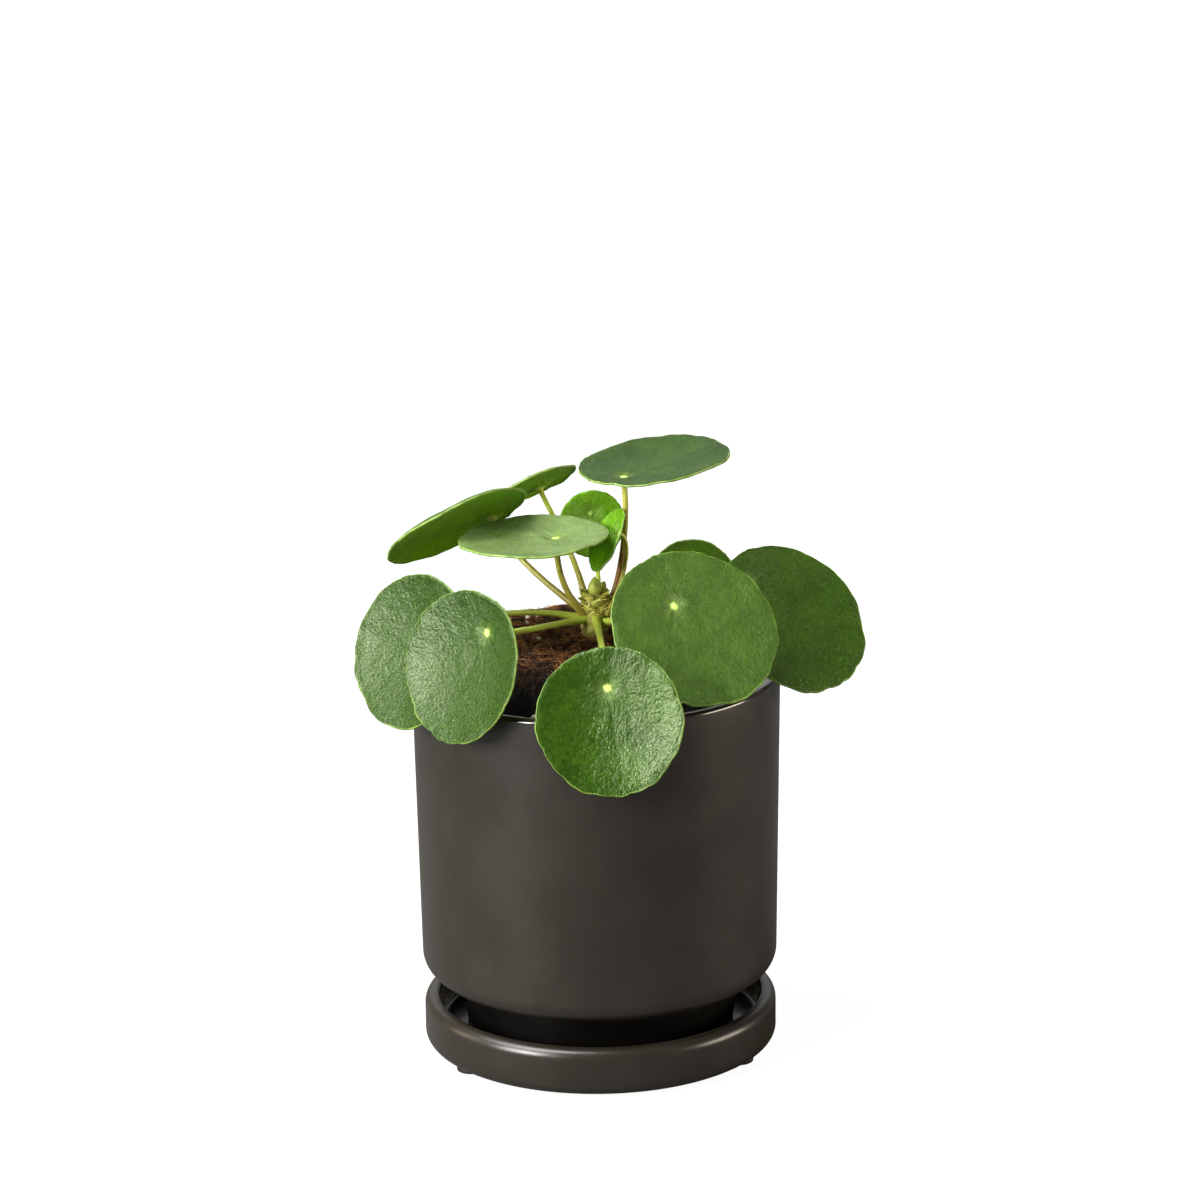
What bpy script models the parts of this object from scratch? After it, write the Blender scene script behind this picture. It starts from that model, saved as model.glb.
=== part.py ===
"""Chinese money plant (Pilea peperomioides) in a footed ceramic pot on its saucer.

The pot, its saucer and the soil are turned about one upright axis.  Every leaf is
a round blade held near one side by its own stalk, and every stalk leaves the same
short stem.  Lengths are in metres, +Z is up and the viewer stands on the -Y side.
The finished model stands on z = 0 with the middle of its box over the origin.
"""
from math import cos, exp, hypot, pi, radians, sin

import bmesh
import bpy
from mathutils import Matrix, Vector

MM = 0.001

# Clearances
GAP = 0.3 * MM                  # air left between two pieces that touch

# Rubber pads under the saucer
PAD_RADIUS = 5.5 * MM
PAD_THICKNESS = 1.8 * MM
PAD_INSET = 8.5 * MM            # from the saucer's outer wall to a pad's middle
PAD_BEARINGS = {"saucer_pad_left": 303, "saucer_pad_right": 63, "saucer_pad_back": 183}

# Pot: a body with a narrower foot below it
POT_RADIUS = 68.2 * MM          # outside, at the rim
POT_TAPER = 1.8 * MM            # how much less the radius is at the base
POT_HEIGHT = 117.0 * MM         # body without the foot
POT_WALL = 4.2 * MM
POT_BASE_ROUND = 8.0 * MM       # radius of the body's lower corner
RIM_ROUND = 1.4 * MM
FOOT_SETBACK = 14.4 * MM        # from the body's base radius in to the foot
FOOT_TAPER = 2.0 * MM
FOOT_HEIGHT = 21.2 * MM         # from the saucer's floor to the body's underside
DRAIN_RADIUS = 6.0 * MM

# Saucer: it is a little narrower than the base of the pot's body
SAUCER_SETBACK = 0.4 * MM
SAUCER_HEIGHT = 17.9 * MM
SAUCER_WALL = 5.5 * MM
SAUCER_FLOOR = 6.0 * MM
SAUCER_OUTER_ROUND = 4.0 * MM
SAUCER_LIP_ROUND = 2.6 * MM
SAUCER_WELL_ROUND = 3.0 * MM

# Soil: a root ball standing proud of the rim, highest behind and left of the middle
SOIL_CROWN = 10.0 * MM          # above the rim, on the flat top
SOIL_EDGE_DROP = 8.0 * MM       # below the rim, at the foot of the slope
SOIL_SLOPE = 24.0 * MM          # width of the slope
SOIL_MIDDLE = (-6.0 * MM, 12.0 * MM)
SOIL_LUMPS = 1.3 * MM
LUMP_WIDTH = 5.1 * MM
LUMP_LENGTH = 6.3 * MM

# Stem and bud, behind the pot's axis
STEM_BACK = 9.0 * MM
STEM_RADIUS = 4.6 * MM
STEM_HEIGHT = 15.0 * MM         # above the soil's crown
STEM_TIP_RADIUS = 3.6 * MM
BUD_HEIGHT = 6.5 * MM
BUD_RADIUS = 2.4 * MM

# Leaves and stalks
STALK_RADIUS = 1.35 * MM
STALK_TIP_SHARE = 0.85          # the stalk's radius at the blade over that at the stem
BLADE_THICKNESS = 0.9 * MM
BLADE_EDGE = 0.5 * MM           # thickness at the margin
DIMPLE_DEPTH = 1.0 * MM         # hollow over the stalk
DIMPLE_RADIUS = 5.0 * MM

# How finely round things are divided
TURN_STEPS = 48
PAD_STEPS = 24
STEM_STEPS = 16
SOIL_STEPS = 32
BLADE_STEPS = 28
BLADE_RINGS = (0.16, 0.45, 0.75, 1.0)
STALK_POINTS = 12

# Levels and radii that several pieces share
SAUCER_BASE = PAD_THICKNESS + GAP
SAUCER_TOP = SAUCER_BASE + SAUCER_HEIGHT
POT_BASE_RADIUS = POT_RADIUS - POT_TAPER
SAUCER_RADIUS = POT_BASE_RADIUS - SAUCER_SETBACK
WELL_RADIUS = SAUCER_RADIUS - SAUCER_WALL
WELL_LEVEL = SAUCER_BASE + SAUCER_FLOOR
FOOT_BASE = WELL_LEVEL + GAP
BODY_BASE = FOOT_BASE + FOOT_HEIGHT
RIM_LEVEL = BODY_BASE + POT_HEIGHT
FOOT_RADIUS = POT_BASE_RADIUS - FOOT_SETBACK
SOIL_TOP = RIM_LEVEL + SOIL_CROWN
STEM_AXIS = Vector((0.0, STEM_BACK, 0.0))
STEM_BASE = SOIL_TOP + GAP
STEM_TOP = STEM_BASE + STEM_HEIGHT
STEM_CLEAR = STEM_BACK + 2 * STEM_RADIUS    # level soil about the pot's axis


def past_rim(distance):
    """Reach of a leaf that hangs over the rim, measured from the pot's outside."""
    return POT_RADIUS + distance * MM


class Leaf:
    """Where a blade is held, how it lies and where its stalk leaves the stem.

    bearing: degrees about the pot's axis, 0 towards +X and 90 to the back.
    reach: from the axis to the place where the stalk meets the blade.
    lift: height of that place above the rim.
    heading, pitch, roll: degrees.  The blade's far edge points along heading, pitch
    tips it down and roll turns the blade about that direction.
    offset: from the stalk to the blade's middle, in blade radii.
    cup: height of the margin over the middle, in blade radii.
    fold: rise of both halves from the midrib, in blade radii.
    leave: bearing, slope and height above the stem's base of the stalk's start.
    bend: length of the stalk's two straight pulls, at the stem and at the blade.
    """

    def __init__(self, name, diameter, bearing, reach, lift, heading, pitch, roll,
                 offset, cup, fold, leave, bend, stalk=1.0):
        self.name = name
        self.radius = diameter / 2 * MM
        self.place = Vector((reach * cos(radians(bearing)), reach * sin(radians(bearing)),
                             RIM_LEVEL + lift * MM))
        self.heading = heading
        self.pitch = pitch
        self.roll = roll
        self.offset = offset * self.radius
        self.cup = cup * self.radius
        self.fold = fold * self.radius
        self.leave_bearing, self.leave_slope, leave_height = leave
        self.leave_level = STEM_BASE + leave_height * MM
        self.bend = bend
        self.stalk_radius = STALK_RADIUS * stalk

    def frame(self):
        """Matrix from blade space (x to the far edge, z out of the upper face)."""
        turn = (Matrix.Rotation(radians(self.heading), 3, "Z")
                @ Matrix.Rotation(radians(self.pitch), 3, "Y")
                @ Matrix.Rotation(radians(self.roll), 3, "X"))
        return Matrix.Translation(self.place) @ turn.to_4x4()


LEAVES = (
    Leaf("top_right", 56, 41, 15 * MM, 68.5, 43, -6, -2, 0.57, 0.04, 0.02,
         (28, 62, 9.5), (10, 18)),
    Leaf("middle_left", 55, 178, 14 * MM, 48, 207, 2, 1, 0.33, 0.06, 0.02,
         (205, 50, 9.5), (14, 6)),
    Leaf("back_left_upper", 57, 138, 50.8 * MM, 47.5, 231, -7, 38, 0.75, -0.16, 0.0,
         (155, 30, 8.0), (18, 14)),
    Leaf("back_left_small", 34, 111, 56 * MM, 53.5, 259, -23, 27, 0.55, -0.06, 0.0,
         (118, 60, 9.5), (24, 10), 0.9),
    Leaf("young_rear", 25, 93, 29.5 * MM, 50.5, 285, 78, 0, 0.30, 0.10, 0.05,
         (78, 45, 9.5), (16, 12), 0.7),
    Leaf("young_front", 25, 20, 10.5 * MM, 49.5, 213, 61, 15, 0.30, 0.20, 0.10,
         (330, 60, 9.0), (12, 6), 0.7),
    Leaf("left_rear", 57, 209, past_rim(-9.3), 28.5, 157, 46, -60.5, 0.75, 0.03, 0.0,
         (178, 16, 5.5), (20, 10)),
    Leaf("left_front", 55, 231.5, past_rim(-7), 28, 175, 61, -47, 0.55, 0.03, 0.02,
         (215, 2, 6.0), (20, 8)),
    Leaf("front", 53, 273.5, past_rim(0), 13, 285, 70, 20, 0.45, 0.02, 0.16,
         (275, -8, 6.0), (26, 10)),
    Leaf("right_front", 63, 309, past_rim(-23.5), 32.5, 324, 43, 23, 0.37, 0.04, 0.0,
         (310, 22, 5.0), (18, 12)),
    Leaf("right_rear", 61, 3, past_rim(-12.2), 29, 350, 39, 31, 0.66, 0.03, 0.02,
         (352, 18, 5.0), (22, 12)),
    Leaf("back_right_small", 32, 56, past_rim(-6), 25, 40, 70, -48, 0.50, 0.04, 0.0,
         (50, 22, 5.0), (20, 10), 0.9),
)


# Materials

def material(name, color, roughness, metallic=0.0):
    """A plain Principled material."""
    mat = bpy.data.materials.new(name)
    mat.use_nodes = True
    shader = mat.node_tree.nodes["Principled BSDF"]
    shader.inputs["Base Color"].default_value = (*color, 1.0)
    shader.inputs["Roughness"].default_value = roughness
    shader.inputs["Metallic"].default_value = metallic
    mat.diffuse_color = (*color, 1.0)
    return mat


def add_object(name, data, mat):
    """Link an object that carries the given mesh or curve."""
    obj = bpy.data.objects.new(name, data)
    bpy.context.scene.collection.objects.link(obj)
    data.materials.append(mat)
    return obj


def clear_scene():
    for obj in list(bpy.data.objects):
        bpy.data.objects.remove(obj, do_unlink=True)


# Turned pieces

def arc(x, z, radius, start, end, steps=4):
    """Points of an arc about (x, z), angles in degrees from the +X side."""
    points = []
    for i in range(steps + 1):
        angle = radians(start + (end - start) * i / steps)
        points.append((x + radius * cos(angle), z + radius * sin(angle)))
    return points


def turned(name, outline, mat, steps=TURN_STEPS, axis=Vector((0, 0, 0))):
    """Spin an outline of (radius, height) points a full turn about an upright axis.

    An outline that starts and ends on the axis becomes a solid; any other outline
    is closed first and becomes a ring.
    """
    bm = bmesh.new()
    ring = outline[0][0] > 0 or outline[-1][0] > 0
    verts = [bm.verts.new((x, 0, z)) for x, z in outline]
    edges = [bm.edges.new(pair) for pair in zip(verts, verts[1:])]
    if ring:
        edges.append(bm.edges.new((verts[-1], verts[0])))
    bmesh.ops.spin(bm, geom=verts + edges, cent=(0, 0, 0), axis=(0, 0, 1),
                   angle=2 * pi, steps=steps)
    bmesh.ops.remove_doubles(bm, verts=bm.verts, dist=0.001 * MM)
    bmesh.ops.translate(bm, verts=bm.verts, vec=axis)
    return mesh_object(name, bm, mat)


def mesh_object(name, bm, mat):
    """Turn faces outward, shade round parts smooth and make the object."""
    bmesh.ops.recalc_face_normals(bm, faces=bm.faces)
    mesh = bpy.data.meshes.new(name)
    bm.to_mesh(mesh)
    bm.free()
    mesh.shade_smooth()
    mesh.set_sharp_from_angle(angle=radians(35))
    return add_object(name, mesh, mat)


def build_pads(mat):
    ring = SAUCER_RADIUS - PAD_INSET
    for name, bearing in PAD_BEARINGS.items():
        angle = radians(bearing)
        place = Vector((ring * sin(angle), -ring * cos(angle), 0))
        outline = [(0, 0), (PAD_RADIUS, 0), (PAD_RADIUS, PAD_THICKNESS), (0, PAD_THICKNESS)]
        turned(name, outline, mat, PAD_STEPS, place)


def build_saucer(mat):
    outer = SAUCER_OUTER_ROUND
    lip = SAUCER_LIP_ROUND
    well = SAUCER_WELL_ROUND
    outline = [(0, SAUCER_BASE)]
    outline += arc(SAUCER_RADIUS - outer, SAUCER_BASE + outer, outer, -90, 0)
    outline += arc(SAUCER_RADIUS - lip, SAUCER_TOP - lip, lip, 0, 90)
    outline += arc(WELL_RADIUS + lip, SAUCER_TOP - lip, lip, 90, 180)
    outline += arc(WELL_RADIUS - well, WELL_LEVEL + well, well, 0, -90, 3)
    outline += [(0, WELL_LEVEL)]
    turned("saucer", outline, mat)


def pot_inside(gap):
    """Outline of the pot's inside from its floor up to the rim's level."""
    wall = POT_WALL + gap
    corner = POT_BASE_ROUND - POT_WALL
    shelf = BODY_BASE + wall
    foot_floor = FOOT_BASE + wall
    outline = [(FOOT_RADIUS - FOOT_TAPER - wall, foot_floor)]
    outline += [(FOOT_RADIUS - wall, shelf)]
    outline += arc(POT_BASE_RADIUS - wall - corner, shelf + corner, corner, -90, 0, 3)
    return outline


def build_pot(mat):
    corner = POT_BASE_ROUND
    rim = RIM_ROUND
    outline = [(DRAIN_RADIUS, FOOT_BASE)]
    outline += [(FOOT_RADIUS - FOOT_TAPER, FOOT_BASE), (FOOT_RADIUS, BODY_BASE)]
    outline += arc(POT_BASE_RADIUS - corner, BODY_BASE + corner, corner, -90, 0, 5)
    outline += arc(POT_RADIUS - rim, RIM_LEVEL - rim, rim, 0, 90, 3)
    outline += arc(POT_RADIUS - POT_WALL + rim, RIM_LEVEL - rim, rim, 90, 180, 3)
    outline += reversed(pot_inside(0))
    outline += [(DRAIN_RADIUS, FOOT_BASE + POT_WALL)]
    turned("pot", outline, mat)


def soil_rise(x, y, wall):
    """How far the soil's surface lies below its flat top at a place."""
    far = hypot(x - SOIL_MIDDLE[0], y - SOIL_MIDDLE[1])
    run = max(0.0, min(1.0, (far - (wall - SOIL_SLOPE)) / SOIL_SLOPE))
    ease = run * run * (3 - 2 * run)
    return -(SOIL_CROWN + SOIL_EDGE_DROP) * ease


def build_soil(mat):
    wall = POT_RADIUS - POT_WALL - GAP
    floor_level = FOOT_BASE + POT_WALL + GAP
    outline = [(0, floor_level)]
    outline += pot_inside(GAP)
    for share in (1.0, 0.82, 0.64, 0.46, 0.28, 0.0):
        outline.append((STEM_CLEAR + (wall - STEM_CLEAR) * share, SOIL_TOP))
    outline.append((0, SOIL_TOP))
    soil = turned("soil", outline, mat, SOIL_STEPS)
    for vert in soil.data.vertices:
        if vert.co.z > SOIL_TOP - GAP:
            vert.co.z += soil_rise(vert.co.x, vert.co.y, wall)
            if hypot(vert.co.x, vert.co.y) > STEM_CLEAR + GAP:
                wave = sin(vert.co.x / LUMP_WIDTH) * cos(vert.co.y / LUMP_LENGTH)
                vert.co.z += SOIL_LUMPS * wave


# The plant

def build_stem(stem_mat, bud_mat):
    outline = [(0, STEM_BASE), (STEM_RADIUS, STEM_BASE)]
    outline += [(STEM_RADIUS, STEM_TOP - STEM_RADIUS)]
    outline += [(STEM_TIP_RADIUS, STEM_TOP), (0, STEM_TOP)]
    turned("stem", outline, stem_mat, STEM_STEPS, STEM_AXIS)
    bud_base = STEM_TOP + GAP
    bud = [(0, bud_base), (BUD_RADIUS * 0.8, bud_base), (BUD_RADIUS, bud_base + BUD_HEIGHT * 0.3),
           (BUD_RADIUS * 0.6, bud_base + BUD_HEIGHT * 0.75), (0, bud_base + BUD_HEIGHT)]
    turned("bud", bud, bud_mat, STEM_STEPS, STEM_AXIS)


def blade_height(leaf, x, y):
    """Height of a blade's underside, x and y measured from the blade's middle."""
    radius = leaf.radius
    out = hypot(x, y) / radius
    from_stalk = hypot(x + leaf.offset, y)
    height = leaf.cup * out ** 2
    height += leaf.fold * (y / radius) ** 2
    height -= DIMPLE_DEPTH * exp(-(from_stalk / DIMPLE_RADIUS) ** 2)
    return height


def build_blade(leaf, mat):
    """A round, slightly cupped plate, divided into rings about its stalk."""
    bm = bmesh.new()
    seat = blade_height(leaf, -leaf.offset, 0)
    into_world = leaf.frame()

    def point(x, y, thickness):
        height = blade_height(leaf, x, y) - seat + GAP + thickness
        return into_world @ Vector((x + leaf.offset, y, height))

    rims = []
    for upper in (False, True):
        middle = bm.verts.new(point(-leaf.offset, 0, BLADE_THICKNESS if upper else 0))
        inner = [middle] * BLADE_STEPS
        for share in BLADE_RINGS:
            thickness = BLADE_THICKNESS + (BLADE_EDGE - BLADE_THICKNESS) * share ** 4
            ring = []
            for i in range(BLADE_STEPS):
                angle = 2 * pi * i / BLADE_STEPS
                x = share * (leaf.radius * cos(angle) + leaf.offset) - leaf.offset
                y = share * leaf.radius * sin(angle)
                ring.append(bm.verts.new(point(x, y, thickness if upper else 0)))
            for i in range(BLADE_STEPS):
                j = (i + 1) % BLADE_STEPS
                if inner[0] is middle:
                    bm.faces.new((middle, ring[i], ring[j]))
                else:
                    bm.faces.new((inner[i], ring[i], ring[j], inner[j]))
            inner = ring
        rims.append(inner)
    lower, upper_rim = rims
    for i in range(BLADE_STEPS):
        j = (i + 1) % BLADE_STEPS
        bm.faces.new((lower[i], lower[j], upper_rim[j], upper_rim[i]))
    mesh_object("leaf_" + leaf.name, bm, mat)


def stalk_path(leaf, share):
    """Point of the stalk's curve, share 0 at the stem and 1 under the blade."""
    bearing = radians(leaf.leave_bearing)
    slope = radians(leaf.leave_slope)
    outward = Vector((cos(bearing), sin(bearing), 0))
    clear = STEM_RADIUS + GAP + leaf.stalk_radius * abs(sin(slope))
    start = STEM_AXIS + outward * clear + Vector((0, 0, leaf.leave_level))
    leave = outward * cos(slope) + Vector((0, 0, sin(slope)))
    arrive = leaf.frame().to_3x3() @ Vector((0, 0, 1))
    first = start + leave * leaf.bend[0] * MM
    second = leaf.place - arrive * leaf.bend[1] * MM
    rest = 1 - share
    return (start * rest ** 3 + first * 3 * rest ** 2 * share
            + second * 3 * rest * share ** 2 + leaf.place * share ** 3)


def build_stalk(leaf, mat):
    """A tapered round stalk along its curve, closed at both ends."""
    curve = bpy.data.curves.new("stalk_" + leaf.name, "CURVE")
    curve.dimensions = "3D"
    curve.bevel_depth = leaf.stalk_radius
    curve.bevel_resolution = 2
    curve.use_fill_caps = True
    spline = curve.splines.new("POLY")
    spline.points.add(STALK_POINTS - 1)
    for i, point in enumerate(spline.points):
        share = i / (STALK_POINTS - 1)
        point.co = (*stalk_path(leaf, share), 1.0)
        point.radius = 1 - (1 - STALK_TIP_SHARE) * share
    add_object(curve.name, curve, mat)


def stand_on_origin():
    """Move everything so that the middle of the whole box's base is the origin."""
    bpy.context.view_layer.update()
    graph = bpy.context.evaluated_depsgraph_get()
    corners = []
    for obj in bpy.data.objects:
        shape = obj.evaluated_get(graph)
        corners += [shape.matrix_world @ vert.co for vert in shape.to_mesh().vertices]
        shape.to_mesh_clear()
    low = [min(corner[axis] for corner in corners) for axis in range(3)]
    high = [max(corner[axis] for corner in corners) for axis in range(3)]
    move = Vector((-(low[0] + high[0]) / 2, -(low[1] + high[1]) / 2, -low[2]))
    for obj in bpy.data.objects:
        obj.location += move


def main():
    clear_scene()
    rubber = material("rubber_black", (0.012, 0.012, 0.012), 0.7)
    glaze = material("black_glaze", (0.022, 0.020, 0.018), 0.42)
    earth = material("coir_soil", (0.055, 0.022, 0.010), 0.95)
    bark = material("stem_brown", (0.150, 0.110, 0.035), 0.7)
    fresh = material("bud_green", (0.280, 0.340, 0.080), 0.5)
    green = material("leaf_green", (0.060, 0.130, 0.025), 0.4)
    young = material("leaf_young", (0.080, 0.230, 0.010), 0.4)
    olive = material("stalk_olive", (0.200, 0.220, 0.040), 0.45)
    build_pads(rubber)
    build_saucer(glaze)
    build_pot(glaze)
    build_soil(earth)
    build_stem(bark, fresh)
    for leaf in LEAVES:
        build_blade(leaf, young if leaf.name.startswith("young") else green)
        build_stalk(leaf, olive)
    stand_on_origin()


main()
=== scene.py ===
"""Potted Chinese money plant: pot, saucer, coir, stem, leaves and stalks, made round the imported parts."""

import math
import random
from collections import namedtuple
import bpy
import numpy as np
from bpy.props import FloatProperty, FloatVectorProperty, IntProperty, PointerProperty
from mathutils import Matrix, Vector, noise
from mathutils.bvhtree import BVHTree


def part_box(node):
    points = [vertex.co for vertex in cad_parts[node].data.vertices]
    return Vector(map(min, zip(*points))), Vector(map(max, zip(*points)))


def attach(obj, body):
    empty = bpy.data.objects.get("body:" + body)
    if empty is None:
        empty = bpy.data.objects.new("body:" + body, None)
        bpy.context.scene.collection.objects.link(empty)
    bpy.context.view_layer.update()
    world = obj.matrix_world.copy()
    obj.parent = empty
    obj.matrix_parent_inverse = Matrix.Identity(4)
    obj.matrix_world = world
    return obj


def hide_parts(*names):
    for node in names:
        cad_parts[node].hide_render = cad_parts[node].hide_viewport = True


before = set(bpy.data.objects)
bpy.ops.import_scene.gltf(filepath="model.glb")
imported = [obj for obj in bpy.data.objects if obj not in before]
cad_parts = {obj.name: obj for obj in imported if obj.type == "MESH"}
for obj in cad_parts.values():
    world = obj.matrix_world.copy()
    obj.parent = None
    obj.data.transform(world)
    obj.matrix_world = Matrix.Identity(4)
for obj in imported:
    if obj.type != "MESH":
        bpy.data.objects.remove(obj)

bl_info = {
    "name": "Potted Money Plant",
    "version": (1, 0, 0),
    "blender": (4, 5, 0),
    "location": "View3D > Sidebar > Money Plant",
    "description": "Builds a money plant in a glazed pot on a saucer",
    "category": "Object",
}

# ------------------------------------------------------------------ sizes

MM = 0.001
UP = Vector((0, 0, 1))
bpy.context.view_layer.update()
POT_LOW, POT_HIGH = (Vector(c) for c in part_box("pot"))
SAUCER_LOW, SAUCER_HIGH = (Vector(c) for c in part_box("saucer"))
SOIL_LOW, SOIL_HIGH = (Vector(c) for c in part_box("soil"))
STEM_LOW, STEM_HIGH = (Vector(c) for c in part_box("stem"))
BUD_LOW, BUD_HIGH = (Vector(c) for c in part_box("bud"))
AXIS = Vector(((POT_LOW.x + POT_HIGH.x) / 2, (POT_LOW.y + POT_HIGH.y) / 2, 0))
STEM_AXIS = Vector(((STEM_LOW.x + STEM_HIGH.x) / 2, (STEM_LOW.y + STEM_HIGH.y) / 2, 0))
POT_RADIUS = (POT_HIGH.x - POT_LOW.x) / 2
SAUCER_RADIUS = (SAUCER_HIGH.x - SAUCER_LOW.x) / 2
STEM_RADIUS = (STEM_HIGH.x - STEM_LOW.x) / 2
CROWN = Vector((STEM_AXIS.x, STEM_AXIS.y, STEM_HIGH.z))
LEAVES = sorted(n[5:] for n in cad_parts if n.startswith("leaf_"))

TURN_STEPS = 160
BLADE_STEPS = 208
BLADE_SPAN = 80 * MM
DIMPLE_RADIUS = 5.5 * MM
DIMPLE_DEPTH = 1.0 * MM
STALK_RING = 8
# the visible stalk is a little slimmer than the plain one
STALK_SLIM = 0.9
LIGHT_DEPTH = 1.2 * MM


def paint(red, green, blue):
    """A display colour, each part from 0 to 255, as the linear colour a shader takes."""
    shares = (c / 255 for c in (red, green, blue))
    return tuple(s / 12.92 if s < 0.04045 else ((s + 0.055) / 1.055) ** 2.4 for s in shares)


def rgba(colour):
    return (*colour, 1.0)


# pale grey-green mixed into the leaf colour in place of a sheen: painted reflection
PAINTED_SHEEN = paint(146, 166, 112)

# how fresh the green is (set leaf by leaf: partly its own green, partly painted light and shade), how rough
# the skin, how bright the underside (partly its paler green, partly painted light shining through), how much
# more cupped than the plain blade, how strong its painted sheen, and how brown its stalk
Look = namedtuple("Look", "fresh rough under cup bloom brown")
LEAF_LOOKS = {
    "top_right": Look(0.12, 0.48, 0.30, 0.03, 0.00, 1.00),
    "middle_left": Look(0.60, 0.36, 0.40, 0.02, 0.55, 0.75),
    "back_left_upper": Look(0.65, 0.40, 0.95, 0.00, 0.00, 0.80),
    "back_left_small": Look(0.45, 0.40, 0.70, 0.00, 0.00, 0.60),
    "young_rear": Look(0.95, 0.42, 0.95, 0.04, 0.00, 0.10),
    "young_front": Look(0.90, 0.42, 0.95, 0.00, 0.00, 0.70),
    "left_rear": Look(-0.20, 0.25, 0.40, 0.13, 0.00, 0.12),
    "left_front": Look(-0.15, 0.24, 0.40, 0.14, 0.00, 0.12),
    "front": Look(0.22, 0.23, 0.40, 0.05, 0.00, 0.12),
    "right_front": Look(0.46, 0.42, 0.40, 0.03, 0.05, 0.12),
    "right_rear": Look(0.34, 0.38, 0.30, 0.02, 0.00, 0.50),
    "back_right_small": Look(0.30, 0.40, 0.15, 0.00, 0.35, 0.50),
}


def length_setting(name, description, default):
    return FloatProperty(name=name, description=description, default=default, unit="LENGTH")


def colour_setting(name, description, *display):
    """A colour given as its display values."""
    return FloatVectorProperty(name=name, description=description, default=paint(*display), subtype="COLOR")


class MoneyPlantSizes(bpy.types.PropertyGroup):
    """Sizes of the pot, the saucer and the plant."""

    pot_wall: length_setting("Pot wall", "Thickness of the pot's wall", 4.2 * MM)
    pot_body: length_setting("Pot body", "Height of the pot above its foot", 117 * MM)
    pot_taper: length_setting("Pot taper", "How much narrower the pot is below", 1.8 * MM)
    pot_corner: length_setting("Pot corner", "Round of the pot's lower corner", 8 * MM)
    rim_round: length_setting("Rim round", "Round of the pot's rim", 1.6 * MM)
    foot_radius: length_setting("Foot radius", "Radius of the pot's foot", 52 * MM)
    foot_taper: length_setting("Foot taper", "How much narrower the foot is below", 2 * MM)
    drain_radius: length_setting("Drain radius", "Radius of the drain hole", 6 * MM)
    saucer_wall: length_setting("Saucer wall", "Thickness of the saucer's wall", 5.5 * MM)
    saucer_floor: length_setting("Saucer floor", "Thickness of the saucer's floor", 6 * MM)
    blade: length_setting("Blade", "Thickness of a leaf blade", 0.8 * MM)
    vein_depth: length_setting("Vein depth", "How deep the main veins lie", 0.09 * MM)
    fibres: IntProperty(name="Fibres", description="Coir fibres on the root ball", default=2600)
    grit: IntProperty(name="Grit", description="White specks of perlite", default=16)


class MoneyPlantColours(bpy.types.PropertyGroup):
    """Colours of the finishes, linear."""

    glaze: colour_setting("Glaze", "Matt dark glaze", 34, 30, 24)
    glaze_worn: colour_setting("Worn glaze", "Paler flecks in the glaze", 46, 42, 35)
    gloss_glaze: colour_setting("Gloss glaze", "Glossy black inside the saucer", 15, 13, 11)
    # a darker copy of the glaze: painted shade on the pot's foot and in the saucer's well
    foot_glaze_painted_shade: colour_setting("Foot glaze painted shade", "Glaze on the foot, in the shade", 9, 8, 7)
    rubber: colour_setting("Rubber", "Saucer pads", 28, 27, 26)
    leaf_deep: colour_setting("Deep green", "Darkest leaf green", 34, 64, 9)
    leaf_fresh: colour_setting("Fresh green", "Brightest leaf green", 72, 108, 12)
    leaf_dot: colour_setting("Leaf dot", "Pale dot over the stalk", 200, 236, 122)
    leaf_edge: colour_setting("Leaf edge", "Pale margin of a leaf", 128, 154, 70)
    leaf_young: colour_setting("Young green", "Leaves that have just opened", 98, 152, 6)
    # the underside greens are brighter than the face: partly the paler underside, partly painted light
    # shining through the leaf; the second is painted backlight
    under_deep: colour_setting("Underside", "Leaf underside", 90, 142, 6)
    under_painted_backlight: colour_setting("Underside painted backlight", "Underside with light behind it", 124, 180, 18)
    stalk_light: colour_setting("Light stalk", "Young green stalk", 206, 228, 88)
    stalk_dark: colour_setting("Dark stalk", "Old brown-green stalk", 146, 104, 50)
    soil_dark: colour_setting("Dark soil", "Dark hollows of the root ball", 16, 9, 5)
    soil_light: colour_setting("Light coir", "Reddish top of the root ball", 76, 39, 21)


def sizes():
    return bpy.context.scene.money_plant_sizes


def colours():
    return bpy.context.scene.money_plant_colours


# ------------------------------------------------------------------ making


def toward(turn):
    """The level direction at a turn about an upright axis."""
    return Vector((math.cos(turn), math.sin(turn), 0))


def edit_all():
    """Opens the object for editing with all of its mesh selected."""
    bpy.ops.object.mode_set(mode="EDIT")
    bpy.ops.mesh.select_all(action="SELECT")


def leave_edit():
    bpy.ops.object.mode_set(mode="OBJECT")


def deselect():
    if bpy.context.object and bpy.context.object.mode != "OBJECT":
        leave_edit()
    bpy.ops.object.select_all(action="DESELECT")


def only(obj):
    deselect()
    obj.select_set(True)
    bpy.context.view_layer.objects.active = obj


def merge_and_face_out(obj, distance=0.002 * MM):
    """Merges doubles and turns every face of a closed mesh outwards."""
    only(obj)
    edit_all()
    bpy.ops.mesh.remove_doubles(threshold=distance)
    bpy.ops.mesh.normals_make_consistent(inside=False)
    leave_edit()


def smooth(obj, degrees=40):
    only(obj)
    bpy.ops.object.shade_smooth_by_angle(angle=math.radians(degrees))


def apply_modifier(obj, kind, **settings):
    only(obj)
    bpy.ops.object.modifier_add(type=kind)
    modifier = obj.modifiers[-1]
    for key, value in settings.items():
        setattr(modifier, key, value)
    bpy.ops.object.modifier_apply(modifier=modifier.name)


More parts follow.
